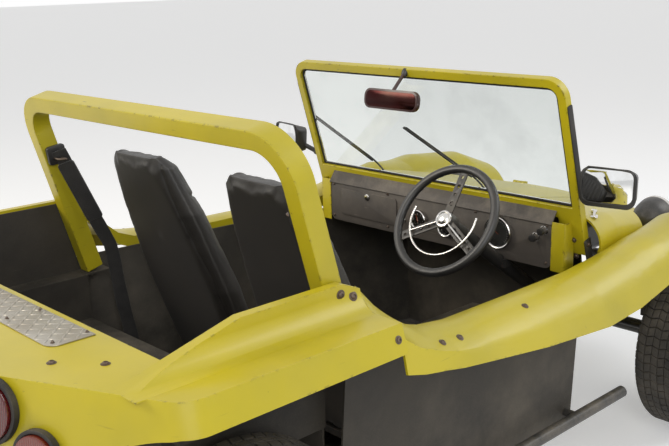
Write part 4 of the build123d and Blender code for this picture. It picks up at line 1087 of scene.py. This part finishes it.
def makeScreen(look):
    out, down = screenOut, screenDown
    seal = roundedCopy("windscreen_seal", "screenRubber", 0.0034, 50, segments=3)
    finishPiece(seal, "sealRubber", "body", ("windscreen_seal",))
    plateShape("edgeRubber", screenPoint(-look["half"] + 0.0002, 1.085, 0.014), down, outwards,
               (0.300, 0.024), 0.006, 0.0034, 0.0012, "sealRubber", mirrored=True)
    for number, shift in enumerate(look["wiperShifts"]):
        pivot, elbow, end, low, high, cap = (screenPoint(y + shift, z, far) for y, z, far in look["wiper"])
        tubeShape(f"wiperArm{number}", [pivot, elbow, elbow.lerp(end, 0.6), end], 0.0032, "blackPaint")
        along, middle = high - low, low.lerp(high, 0.5)
        plateShape(f"wiperBlade{number}", middle - out * 0.0024, along, out, (along.length, 0.005), 0.0015,
                   0.009, 0.0006, "sealRubber")
        plateShape(f"wiperSpine{number}", middle + out * 0.006, along, out, (along.length * 0.96, 0.008),
                   0.002, 0.0026, 0.0006, "blackPaint")
        turnedFitting(f"wiperPivot{number}", look["wiperCap"], cap, out, "chrome", steps=24)
    coachBolts("screenFootBolts", [(screenPoint(-0.548, z), -out) for z in look["footBolts"]], 0.0062)
    plateShape("screenBracket", screenPoint(-look["half"], 0.762, 0.014), down, outwards, (0.085, 0.034),
               0.007, 0.0042, 0.001, "blackPaint", mirrored=True)
    coachBolts("bracketBolts", [(screenPoint(-0.589, z, 0.014), outwards) for z in look["bracketBolts"]],
               0.0060)
    print("windscreen made")


mirrorLook = {
    "split": 0.3,  # the shell inside this distance from the middle is the interior mirror's
    "innerCentre": (0.2315, 0.025, 1.212), "innerTilt": (-1, 0, 0.12), "innerOut": 0.0215,
    "doorCentre": (0.3415, -0.706, 1.007), "doorFace": (-0.98, -0.2, 0.06), "doorAcross": (0.2, -0.98, 0),
    "lipHalf": (0.079, 0.053), "lipOut": 0.0015, "lipBar": 0.0024,
    "lip": ((-0.75, 1), (0.75, 1), (1, 0.7), (1, -0.7), (0.75, -1), (-0.75, -1), (-1, -0.7), (-1, 0.7),
            (-0.75, 1)),
    "ball": ((0.012, -0.012), (0.013, -0.004), (0.0105, 0.006), (0.0065, 0.013)),
}


def makeMirrors(look):
    shells = roundedCopy("mirrors", "mirrorShells", 0.0022, 40)
    inner = copyPiece(shells, "innerMirrorShell")
    cutFaces(shells, lambda c, n: abs(c.y) <= look["split"])
    cutFaces(inner, lambda c, n: abs(c.y) >= look["split"])
    finishPiece(shells, "blackPlastic", "body", ("mirrors",))
    finishPiece(inner, "mirrorShell", "body", ("mirrors",))
    tilt = Vector(look["innerTilt"]).normalized()
    plateShape("innerMirrorGlass", Vector(look["innerCentre"]) + tilt * look["innerOut"], (0, 1, 0), tilt,
               (0.221, 0.053), 0.020, 0.0012, 0.0004, "mirrorTint")
    centre, face, across = (Vector(look[k]) for k in ("doorCentre", "doorFace", "doorAcross"))
    face.normalize()
    plateShape("doorMirrorGlass", centre + face * 0.0004, across, face, (0.148, 0.096), 0.022, 0.0016, 0.0005,
               "mirrorGlass", mirrored=True)
    across.normalize()
    wide, tall = look["lipHalf"]
    lip = [centre + face * look["lipOut"] + across * (wide * sx) + Vector((0, 0, 1)) * (tall * sz)
           for sx, sz in look["lip"]]
    tubeShape("doorMirrorLip", lip, look["lipBar"], "blackPlastic", sides=3, mirrored=True)
    turnedFitting("mirrorBall", look["ball"], screenPoint(0.025, 1.2945), (-0.66, 0, -0.75), "blackPlastic",
                  steps=24)
    print("mirrors made")


makeScreen(screenLook)
makeMirrors(mirrorLook)


# Belts: woven straps from the guides on the hoop to the floor

beltLook = {
    "out": 0.544, "wide": 0.044, "thick": 0.0026, "rows": 60, "across": (0.742, 0.58, 0.334),
    "route": ((-0.7085, 1.118), (-0.5605, 0.790), (-0.4765, 0.235)), "bend": 0.37,
    "sleeve": (0.215, 0.052), "sleeveDown": 0.150, "sleeveOut": 0.006, "loopZ": 1.094, "loopBar": 0.0032,
    "loop": ((0.010, 0.028), (0.010, -0.026), (-0.010, -0.026), (-0.010, 0.028), (0.010, 0.028)),
}


def makeBelts(look):
    deselect()
    bpy.ops.mesh.primitive_grid_add(x_subdivisions=look["rows"], y_subdivisions=6, size=1, location=(0, 0, 0))
    strap = bpy.context.active_object
    strap.name = "beltStrap"
    (x0, z0), (x1, z1), (x2, z2) = look["route"]
    facing, bend, far = Vector(look["across"]).normalized(), look["bend"], -look["out"]
    for vertex in strap.data.vertices:
        share, across = vertex.co.x + 0.5, vertex.co.y
        if share < bend:
            part = share / bend
            x, z = x0 + (x1 - x0) * part, z0 + (z1 - z0) * part
        else:
            part = (share - bend) / (1 - bend)
            x, z = x1 + (x2 - x1) * part, z1 + (z2 - z1) * part
        slack = 0.0016 * math.sin(share * 19) + 0.0009 * math.sin(share * 43 + across * 3)
        crown = 0.0006 * (1 - (2 * across) ** 6)
        vertex.co = Vector((x + slack - crown, far, z)) + facing * across * look["wide"]
    modify(strap, "SOLIDIFY", thickness=look["thick"], offset=0)
    bevelEdges(strap, 0.0007, 1)
    smoothPiece(strap, 50)
    finishFitting(strap, "beltWebbing", "body", ("seat_belts",), True)
    plateShape("beltGuide", (-0.7075, -0.5678, 1.104), (0.15, 0, -1), (0, 1, 0), (0.058, 0.060), 0.010,
               0.0130, 0.002, "blackPlastic", ("seat_belts",), True)
    down = Vector((x1 - x0, 0, z1 - z0)).normalized()
    flat = down.cross(facing).normalized()
    sleevePlace = Vector((x0, far, z0)) + down * look["sleeveDown"] - flat * look["sleeveOut"]
    plateShape("beltSleeve", sleevePlace, down, flat, look["sleeve"], 0.010, 0.012, 0.004, "beltWebbing",
               mirrored=True)
    loop = [Vector((x0 + dx, far + dy, look["loopZ"])) for dx, dy in look["loop"]]
    tubeShape("beltLoop", loop, look["loopBar"], "boltSteel", sides=3, mirrored=True)
    plateShape("beltAnchor", (x2, far, 0.2195), (1, 0, 0), upwards, (0.040, 0.044), 0.006, 0.014, 0.0012,
               "boltSteel", ("seat_belts",), True)
    print("belts made")


makeBelts(beltLook)


# Bolts of the hoop, the sides and the tail

bodyBolts = {
    # radius, then the place and direction of each
    "hoopFootBolts": (0.0082, (((-0.6745, -0.650, 0.9218), (0, -1, 0)),
                               ((-0.6381, -0.6524, 0.9107), (0, -0.91, 0.42)))),
    "sideBolts": (0.0066, (((-0.6346, -0.7885, 0.840), (0, -0.95, 0.31)),
                           ((-0.4538, -0.7611, 0.7741), (0.18, -0.41, 0.89)),
                           ((-0.3828, -0.7559, 0.7648), (0.12, -0.52, 0.85)),
                           ((-0.0767, -0.7258, 0.7575), (0.05, -0.36, 0.93)))),
    "tailBolts": (0.0070, (((-1.2611, -0.4173, 0.872), (0, 0, 1)), ((-1.1882, -0.5027, 0.872), (0, 0, 1)))),
}
for boltName, (boltRadius, boltPlaces) in bodyBolts.items():
    coachBolts(boltName, boltPlaces, boltRadius)
print("bolts made")


# Luggage deck: tread plate with raised bars that alternate in direction

deckLook = {"bar": (0.0125, 0.0036, 0.0016), "rows": 5, "columns": 31, "pitch": 0.0220,
            "start": (-1.2175, -0.3300), "top": 0.8753, "clear": (-1.205, 0.322), "rivet": 0.0034,
            "rivetX": (-1.210, -1.128), "rivetY": (-0.325, -0.110, 0.110, 0.325), "rivetZ": 0.8752}


def makeDeck(look):
    sheet = roundedCopy("deck_plate", "deckSheet", 0.0007, 35)
    finishPiece(sheet, "treadAlloy", "body", ("deck_plate",))
    bpy.ops.mesh.primitive_uv_sphere_add(segments=8, ring_count=6, radius=1, location=(0, 0, 0))
    lozenge = bpy.context.active_object
    lozenge.scale = look["bar"]
    settle(lozenge)
    bars, (startX, startY), (clearX, clearY) = [], look["start"], look["clear"]
    for row in range(look["rows"]):
        for column in range(look["columns"]):
            x, y = startX + look["pitch"] * row, startY + look["pitch"] * column
            if abs(y) > clearY and x < clearX:
                continue  # a rivet stands here
            bar = copyPiece(lozenge, "bar")
            turn = Matrix.Rotation(math.radians(45 if (row + column) % 2 else -45), 4, "Z")
            bar.matrix_world = Matrix.Translation((x, y, look["top"])) @ turn
            bars.append(bar)
    bpy.data.objects.remove(lozenge)
    tread = joinPieces(bars, "deckTread")
    settle(tread)
    smoothPiece(tread, 60)
    finishPiece(tread, "treadAlloy")
    rivets = [((x, y, look["rivetZ"]), upwards) for x in look["rivetX"] for y in look["rivetY"]]
    coachBolts("deckRivets", rivets, look["rivet"], mirrored=False)
    print("deck made")


makeDeck(deckLook)


# Head lamps: domed glass, bowl, bulb and rim

headLampPlace = (1.0985, -0.467, 0.737)
headLampParts = (
    # name, finish, steps, node replaced, profile
    ("headLampGlass", "lampGlass", 56, ("head_lamp_lenses",),
     ((0.0650, -0.0060), (0.0652, -0.0025), (0.0600, 0.0012), (0.0440, 0.0045), (0.020, 0.0060), (0, 0.0062),
      (0, 0.0032), (0.043, 0.0016), (0.058, -0.0018), (0.0620, -0.0060))),
    ("headLampBowl", "chrome", 48, (),
     ((0.0655, -0.0080), (0.0600, -0.0130), (0.0450, -0.0215), (0.0250, -0.0270), (0.010, -0.0288),
      (0, -0.0288))),
    ("headLampBulb", "lampGlass", 24, (),
     ((0.0080, -0.0290), (0.0080, -0.0200), (0.0062, -0.0140), (0.0030, -0.0115), (0, -0.0110))),
    ("headLampRim", "chrome", 56, (),
     ((0.0722, -0.0160), (0.0738, -0.0140), (0.0742, -0.0040), (0.0724, 0.0010), (0.0690, 0.0028),
      (0.0655, 0.0010), (0.0648, -0.0040), (0.0652, -0.0080))),
)
for partName, partFinish, partSteps, partNodes, partProfile in headLampParts:
    turnedFitting(partName, partProfile, headLampPlace, (1, 0, 0), partFinish, "body", partSteps, partNodes,
                  True)
print("head lamps made")


# Bonnet catches, filler cap

catchLook = {
    "low": (0.462, -0.592, 0.864), "high": (0.540, -0.546, 0.8682), "up": (0.13, -0.06, 0.99),
    "lever": ((0.05, 0.006), (0.25, 0.014), (0.6, 0.013), (0.95, 0.005)), "leverBar": 0.0042, "sink": 0.0005,
    "capPlace": (0.9635, -0.090, 0.727),
    "cap": ((0.0355, -0.006), (0.0385, -0.004), (0.0385, 0.008), (0.0350, 0.0125), (0.020, 0.0145),
            (0, 0.0148)),
}


def makeCatches(look):
    low, high, up = (Vector(look[k]) for k in ("low", "high", "up"))
    up.normalize()
    run, sink = high - low, up * look["sink"]
    plateShape("catchBase", low.lerp(high, 0.5) - sink, run, up, (0.070, 0.024), 0.006, 0.0030, 0.0008,
               "chrome", mirrored=True)
    lever = [low.lerp(high, share) + up * tall for share, tall in look["lever"]]
    tubeShape("catchLever", lever, look["leverBar"], "chrome", mirrored=True)
    plateShape("catchHook", high - sink, run, up, (0.020, 0.018), 0.004, 0.008, 0.0015, "chrome",
               mirrored=True)
    turnedFitting("fillerCap", look["cap"], look["capPlace"], upwards, "chrome", steps=36)
    print("catches made")


makeCatches(catchLook)


# Rims with nuts, caps and valves

rimLook = {
    "capIn": 0.012, "nuts": 5, "nutCircle": 0.046, "nutIn": 0.0155, "nut": (0.0095, 0.010),
    "valveIn": 0.008, "valveOut": 0.1705,
    "cap": ((0.0308, 0.0245), (0.0318, 0.0300), (0.0300, 0.0325), (0.0250, 0.0350), (0.012, 0.0372),
            (0, 0.0376)),
    "valve": ((0.0060, -0.012), (0.0050, 0.004), (0.0042, 0.014), (0.0048, 0.016), (0.0048, 0.026),
              (0.003, 0.028), (0, 0.028)),
}


def makeRim(wheel, corner, side, look):
    body, node = "wheel_" + corner, "rim_" + corner
    skin = roundedCopy(node, node + "_skin", 0.0010, 38, angle=40)
    finishPiece(skin, "rimSilver", body, (node,))
    hub, out = Vector((wheel["x"], side * wheel["track"], wheel["radius"])), Vector((0, side, 0))
    turnedFitting("hubCap_" + corner, look["cap"], hub + out * (wheel["disc"] - look["capIn"]), out, "chrome",
                  body, 40)
    nuts = []
    for number in range(look["nuts"]):
        angle = math.radians(360 / look["nuts"] * number)
        around = Vector((math.cos(angle), 0, math.sin(angle))) * look["nutCircle"]
        spot = hub + out * (wheel["disc"] - look["nutIn"]) + around
        nuts.append(boltHead(f"nut{number}", spot, out, *look["nut"]))
    finishPiece(joinPieces(nuts, "wheelNuts_" + corner), "boltSteel", body)
    valvePlace = hub + out * (wheel["disc"] - look["valveIn"]) + Vector((look["valveOut"], 0, 0))
    turnedFitting("valve_" + corner, look["valve"], valvePlace, out, "blackPlastic", body, 16)


for end, wheel in wheels.items():
    for sideName, side in wheelSides:
        makeRim(wheel, f"{end}_{sideName}", side, rimLook)
print("rims made")


# Gear lever, hand brake and pedals

finishPiece(roundedCopy("controls", "controlsSkin", 0.0015, 45), "blackPaint", "body", ("controls",))
print("controls made")


# Engine: pulleys and belt, carburettor, distributor, coil, covers and pipes

engineLook = {
    "crankZ": 0.319, "fanZ": 0.660, "pulleyX": -1.3945, "crankRadius": 0.088, "fanRadius": 0.062,
    "beltIn": 0.0025, "beltBar": 0.0060, "strapX": -1.310, "strapRadius": 0.0505, "strapBar": 0.0036,
    "pulleyEdge": ((0.001, -0.0105), (0.001, -0.0070), (-0.006, -0.001), (-0.006, 0.001), (0.001, 0.0070),
                   (0.001, 0.0105), (-0.009, 0.0115)),
    "pulleyHub": ((0.024, 0.0115), (0.022, 0.0180), (0.012, 0.0185), (0.011, 0.0240), (0, 0.0245)),
    "coverNutX": (-1.182, -1.362), "coverNutY": 0.3450, "coverNutZ": 0.349, "coverNut": (0.006, 0.005),
    "bailX": -1.272, "bailBar": 0.0028,
    "bail": ((0.300, 0.395), (0.352, 0.370), (0.353, 0.330), (0.352, 0.295), (0.300, 0.275)),
    "tailPipePlace": (-1.6305, 0.150, 0.218), "tailPipeAxis": (-1, 0, -0.17),
    "tailPipe": ((0.0195, -0.035), (0.0205, -0.033), (0.0205, -0.001), (0.0195, 0.0), (0.0165, -0.002),
                 (0.0165, -0.030)),
    "bandPlace": (-1.5565, 0.262), "bandY": (-0.262, -0.090, 0.090, 0.262),
    "band": ((0.0625, -0.008), (0.0642, -0.006), (0.0642, 0.006), (0.0625, 0.008)),
    "shroudBoltX": -1.2395, "shroudBolt": 0.0050,
    "shroudBolts": ((-0.270, 0.440), (0.270, 0.440), (-0.255, 0.545), (0.255, 0.545), (-0.19, 0.640),
                    (0.19, 0.640)),
}
engineTubes = (
    # name, radius, sides, points
    ("inletPipe", 0.0150, 5, ((-1.292, -0.272, 0.385), (-1.292, -0.262, 0.500), (-1.292, -0.200, 0.540),
                              (-1.292, 0.0, 0.546), (-1.292, 0.200, 0.540), (-1.292, 0.262, 0.500),
                              (-1.292, 0.272, 0.385))),
    ("carbStand", 0.014, 5, ((-1.322, 0.118, 0.610), (-1.318, 0.105, 0.570), (-1.300, 0.080, 0.546))),
)
engineTurned = (
    # name, finish, steps, place, axis, profile
    ("airCleaner", "blackPaint", 48, (-1.322, 0.118, 0.735), upwards,
     ((0.030, 0.0), (0.034, 0.004), (0.064, 0.010), (0.070, 0.016), (0.070, 0.050), (0.064, 0.058),
      (0.030, 0.062), (0.012, 0.0625), (0.010, 0.070), (0, 0.071))),
    ("airNeck", "castAlloy", 32, (-1.322, 0.118, 0.688), upwards,
     ((0.024, 0.0), (0.024, 0.030), (0.030, 0.036), (0.030, 0.048))),
    ("distributor", "blackPlastic", 32, (-1.368, -0.100, 0.443), upwards,
     ((0.020, 0.0), (0.020, 0.040), (0.031, 0.048), (0.031, 0.078), (0.034, 0.082), (0.034, 0.094),
      (0.026, 0.108), (0, 0.110))),
    ("oilFiller", "blackPaint", 28, (-1.330, -0.068, 0.440), (-0.10, -0.35, 1),
     ((0.022, 0.0), (0.022, 0.110), (0.030, 0.114), (0.030, 0.130), (0.012, 0.134), (0, 0.134))),
    ("coil", "blackPaint", 28, (-1.268, -0.185, 0.560), upwards,
     ((0.026, 0.0), (0.027, 0.004), (0.027, 0.095), (0.024, 0.105), (0.010, 0.112), (0.009, 0.124),
      (0, 0.126))),
)


def aroundAxle(x, z, radius, degrees):
    return [(x, radius * math.cos(math.radians(a)), z + radius * math.sin(math.radians(a))) for a in degrees]


def makeEngineParts(look):
    x = look["pulleyX"]
    for name, z, radius in (("crankPulley", look["crankZ"], look["crankRadius"]),
                            ("fanPulley", look["fanZ"], look["fanRadius"])):
        profile = [*widened(look["pulleyEdge"], radius), *look["pulleyHub"]]
        turnedFitting(name, profile, (x, 0, z), back, "blackPaint", steps=48)
    belt = aroundAxle(x, look["crankZ"], look["crankRadius"] - look["beltIn"], range(190, 351, 16))
    belt += aroundAxle(x, look["fanZ"], look["fanRadius"] - look["beltIn"], range(10, 171, 16))
    tubeShape("fanBelt", belt + belt[:1], look["beltBar"], "sealRubber", sides=3)
    strap = aroundAxle(look["strapX"], look["fanZ"], look["strapRadius"], range(-60, 241, 15))
    tubeShape("generatorStrap", strap, look["strapBar"], "boltSteel", sides=2)
    for name, radius, sides, points in engineTubes:
        tubeShape(name, points, radius, "castAlloy", sides=sides)
    for name, finish, steps, place, axis, profile in engineTurned:
        turnedFitting(name, profile, place, axis, finish, steps=steps)
    plateShape("carburettor", (-1.322, 0.118, 0.605), (1, 0, 0), upwards, (0.062, 0.070), 0.010, 0.085, 0.003,
               "castAlloy")
    bolts = [((look["shroudBoltX"], y, z), back) for y, z in look["shroudBolts"]]
    coachBolts("shroudBolts", bolts, look["shroudBolt"], mirrored=False)
    nuts = [boltHead("coverNut", (nutX, side * look["coverNutY"], look["coverNutZ"]), (0, side, 0),
                     *look["coverNut"])
            for side in (-1, 1) for nutX in look["coverNutX"]]
    finishPiece(joinPieces(nuts, "coverNuts"), "boltSteel")
    for name, side in (("Right", -1), ("Left", 1)):
        bail = [(look["bailX"], side * y, z) for y, z in look["bail"]]
        tubeShape("coverBail" + name, bail, look["bailBar"], "boltSteel", sides=2)
        pipeX, pipeY, pipeZ = look["tailPipePlace"]
        turnedFitting("tailPipe" + name, look["tailPipe"], (pipeX, side * pipeY, pipeZ), look["tailPipeAxis"],
                      "chrome")
    bandX, bandZ = look["bandPlace"]
    for number, y in enumerate(look["bandY"]):
        turnedFitting(f"mufflerBand{number}", look["band"], (bandX, y, bandZ), (0, 1, 0), "exhaustSteel",
                      steps=48)
    print("engine dressed")


makeEngineParts(engineLook)


# Mats with a sunk middle in the foot wells

matLook = {"x": 0.370, "y": 0.290, "z": 0.2188, "size": (0.300, 0.340), "corner": 0.030, "thick": 0.006,
           "edge": 0.0015, "border": 0.018, "sunk": 0.0018}


def makeMats(look):
    for number, side in enumerate((-1, 1)):
        mat = plateShape(f"footMat{number}", (look["x"], side * look["y"], look["z"]), (1, 0, 0), upwards,
                         look["size"], look["corner"], look["thick"], look["edge"], "sealRubber")
        editPiece(mat)
        pickFaces(mat, lambda c, n: n.z > 0.9 and c.z > look["z"] + look["thick"] - 0.0008)
        bpy.ops.mesh.inset(thickness=look["border"], depth=-look["sunk"])
        endEdit()
    print("mats made")


makeMats(matLook)


# Studio

studio = {
    "floorTone": 0.80, "floorGlow": 0.36, "floorDrop": 0.0005, "worldStrength": 0.42,
    "lamps": (
        # place, aimed at, size, watts, colour
        ((-4.5, 3.2, 4.2), (-0.2, 0.0, 0.7), 2.6, 215.0, (1.0, 0.93, 0.82)),
        ((-3.2, -4.6, 3.6), (-0.2, 0.0, 0.6), 3.2, 120.0, (1.0, 1.0, 1.0)),
        ((3.6, -3.0, 4.4), (0.3, 0.0, 0.7), 3.0, 110.0, (0.94, 0.97, 1.0)),
    ),
}


def backgroundRays(tree):
    # The rays that see the white background: from the camera, through glass and off gloss
    path = addNode(tree, "ShaderNodeLightPath").outputs
    seenOrPassed = mathNode(tree, "MAXIMUM", path["Is Camera Ray"], path["Is Transmission Ray"])
    return mathNode(tree, "MAXIMUM", seenOrPassed, path["Is Glossy Ray"])


def makeFloor(look):
    deselect()
    bpy.ops.mesh.primitive_grid_add(x_subdivisions=4, y_subdivisions=4, size=120,
                                    location=(0, 0, -look["floorDrop"]))
    floor = bpy.context.active_object
    floor.name = "studioFloor"
    settle(floor)
    material, tree, shader = newMaterial("studioFloor", Roughness=0.9, Emission_Color=(1, 1, 1, 1))
    tone = look["floorTone"]
    spots = ramp(tree, noiseAt(tree, objectPlace(tree), 40.0, 3.0), 0.2, 0.9)
    colour = mixColour(tree, spots, (tone, tone, tone), (tone * 0.97, tone * 0.97, tone * 0.96))
    feed(tree, shader.inputs["Base Color"], colour)
    feed(tree, shader.inputs["Emission Strength"], times(tree, backgroundRays(tree), look["floorGlow"]))
    floor.data.materials.append(material)


def makeWorld(look):
    world = bpy.data.worlds.new("studioWorld")
    bpy.context.scene.world = world
    world.use_nodes = True
    tree = world.node_tree
    background = tree.nodes["Background"]
    strength = mixValue(tree, backgroundRays(tree), look["worldStrength"], 1.0)
    feed(tree, background.inputs["Strength"], strength)
    feed(tree, background.inputs["Color"], (1, 1, 1, 1))


def makeLamps(look):
    for number, (place, aim, size, watts, colour) in enumerate(look["lamps"]):
        data = bpy.data.lights.new(f"softLamp{number}", "AREA")
        data.size = size
        data.energy = watts
        data.color = colour
        lamp = newObject(f"softLamp{number}", data)
        turn = (Vector(aim) - Vector(place)).to_track_quat("-Z", "Y")
        lamp.matrix_world = Matrix.LocRotScale(Vector(place), turn, None)


makeFloor(studio)
makeWorld(studio)
makeLamps(studio)
print("studio ready")
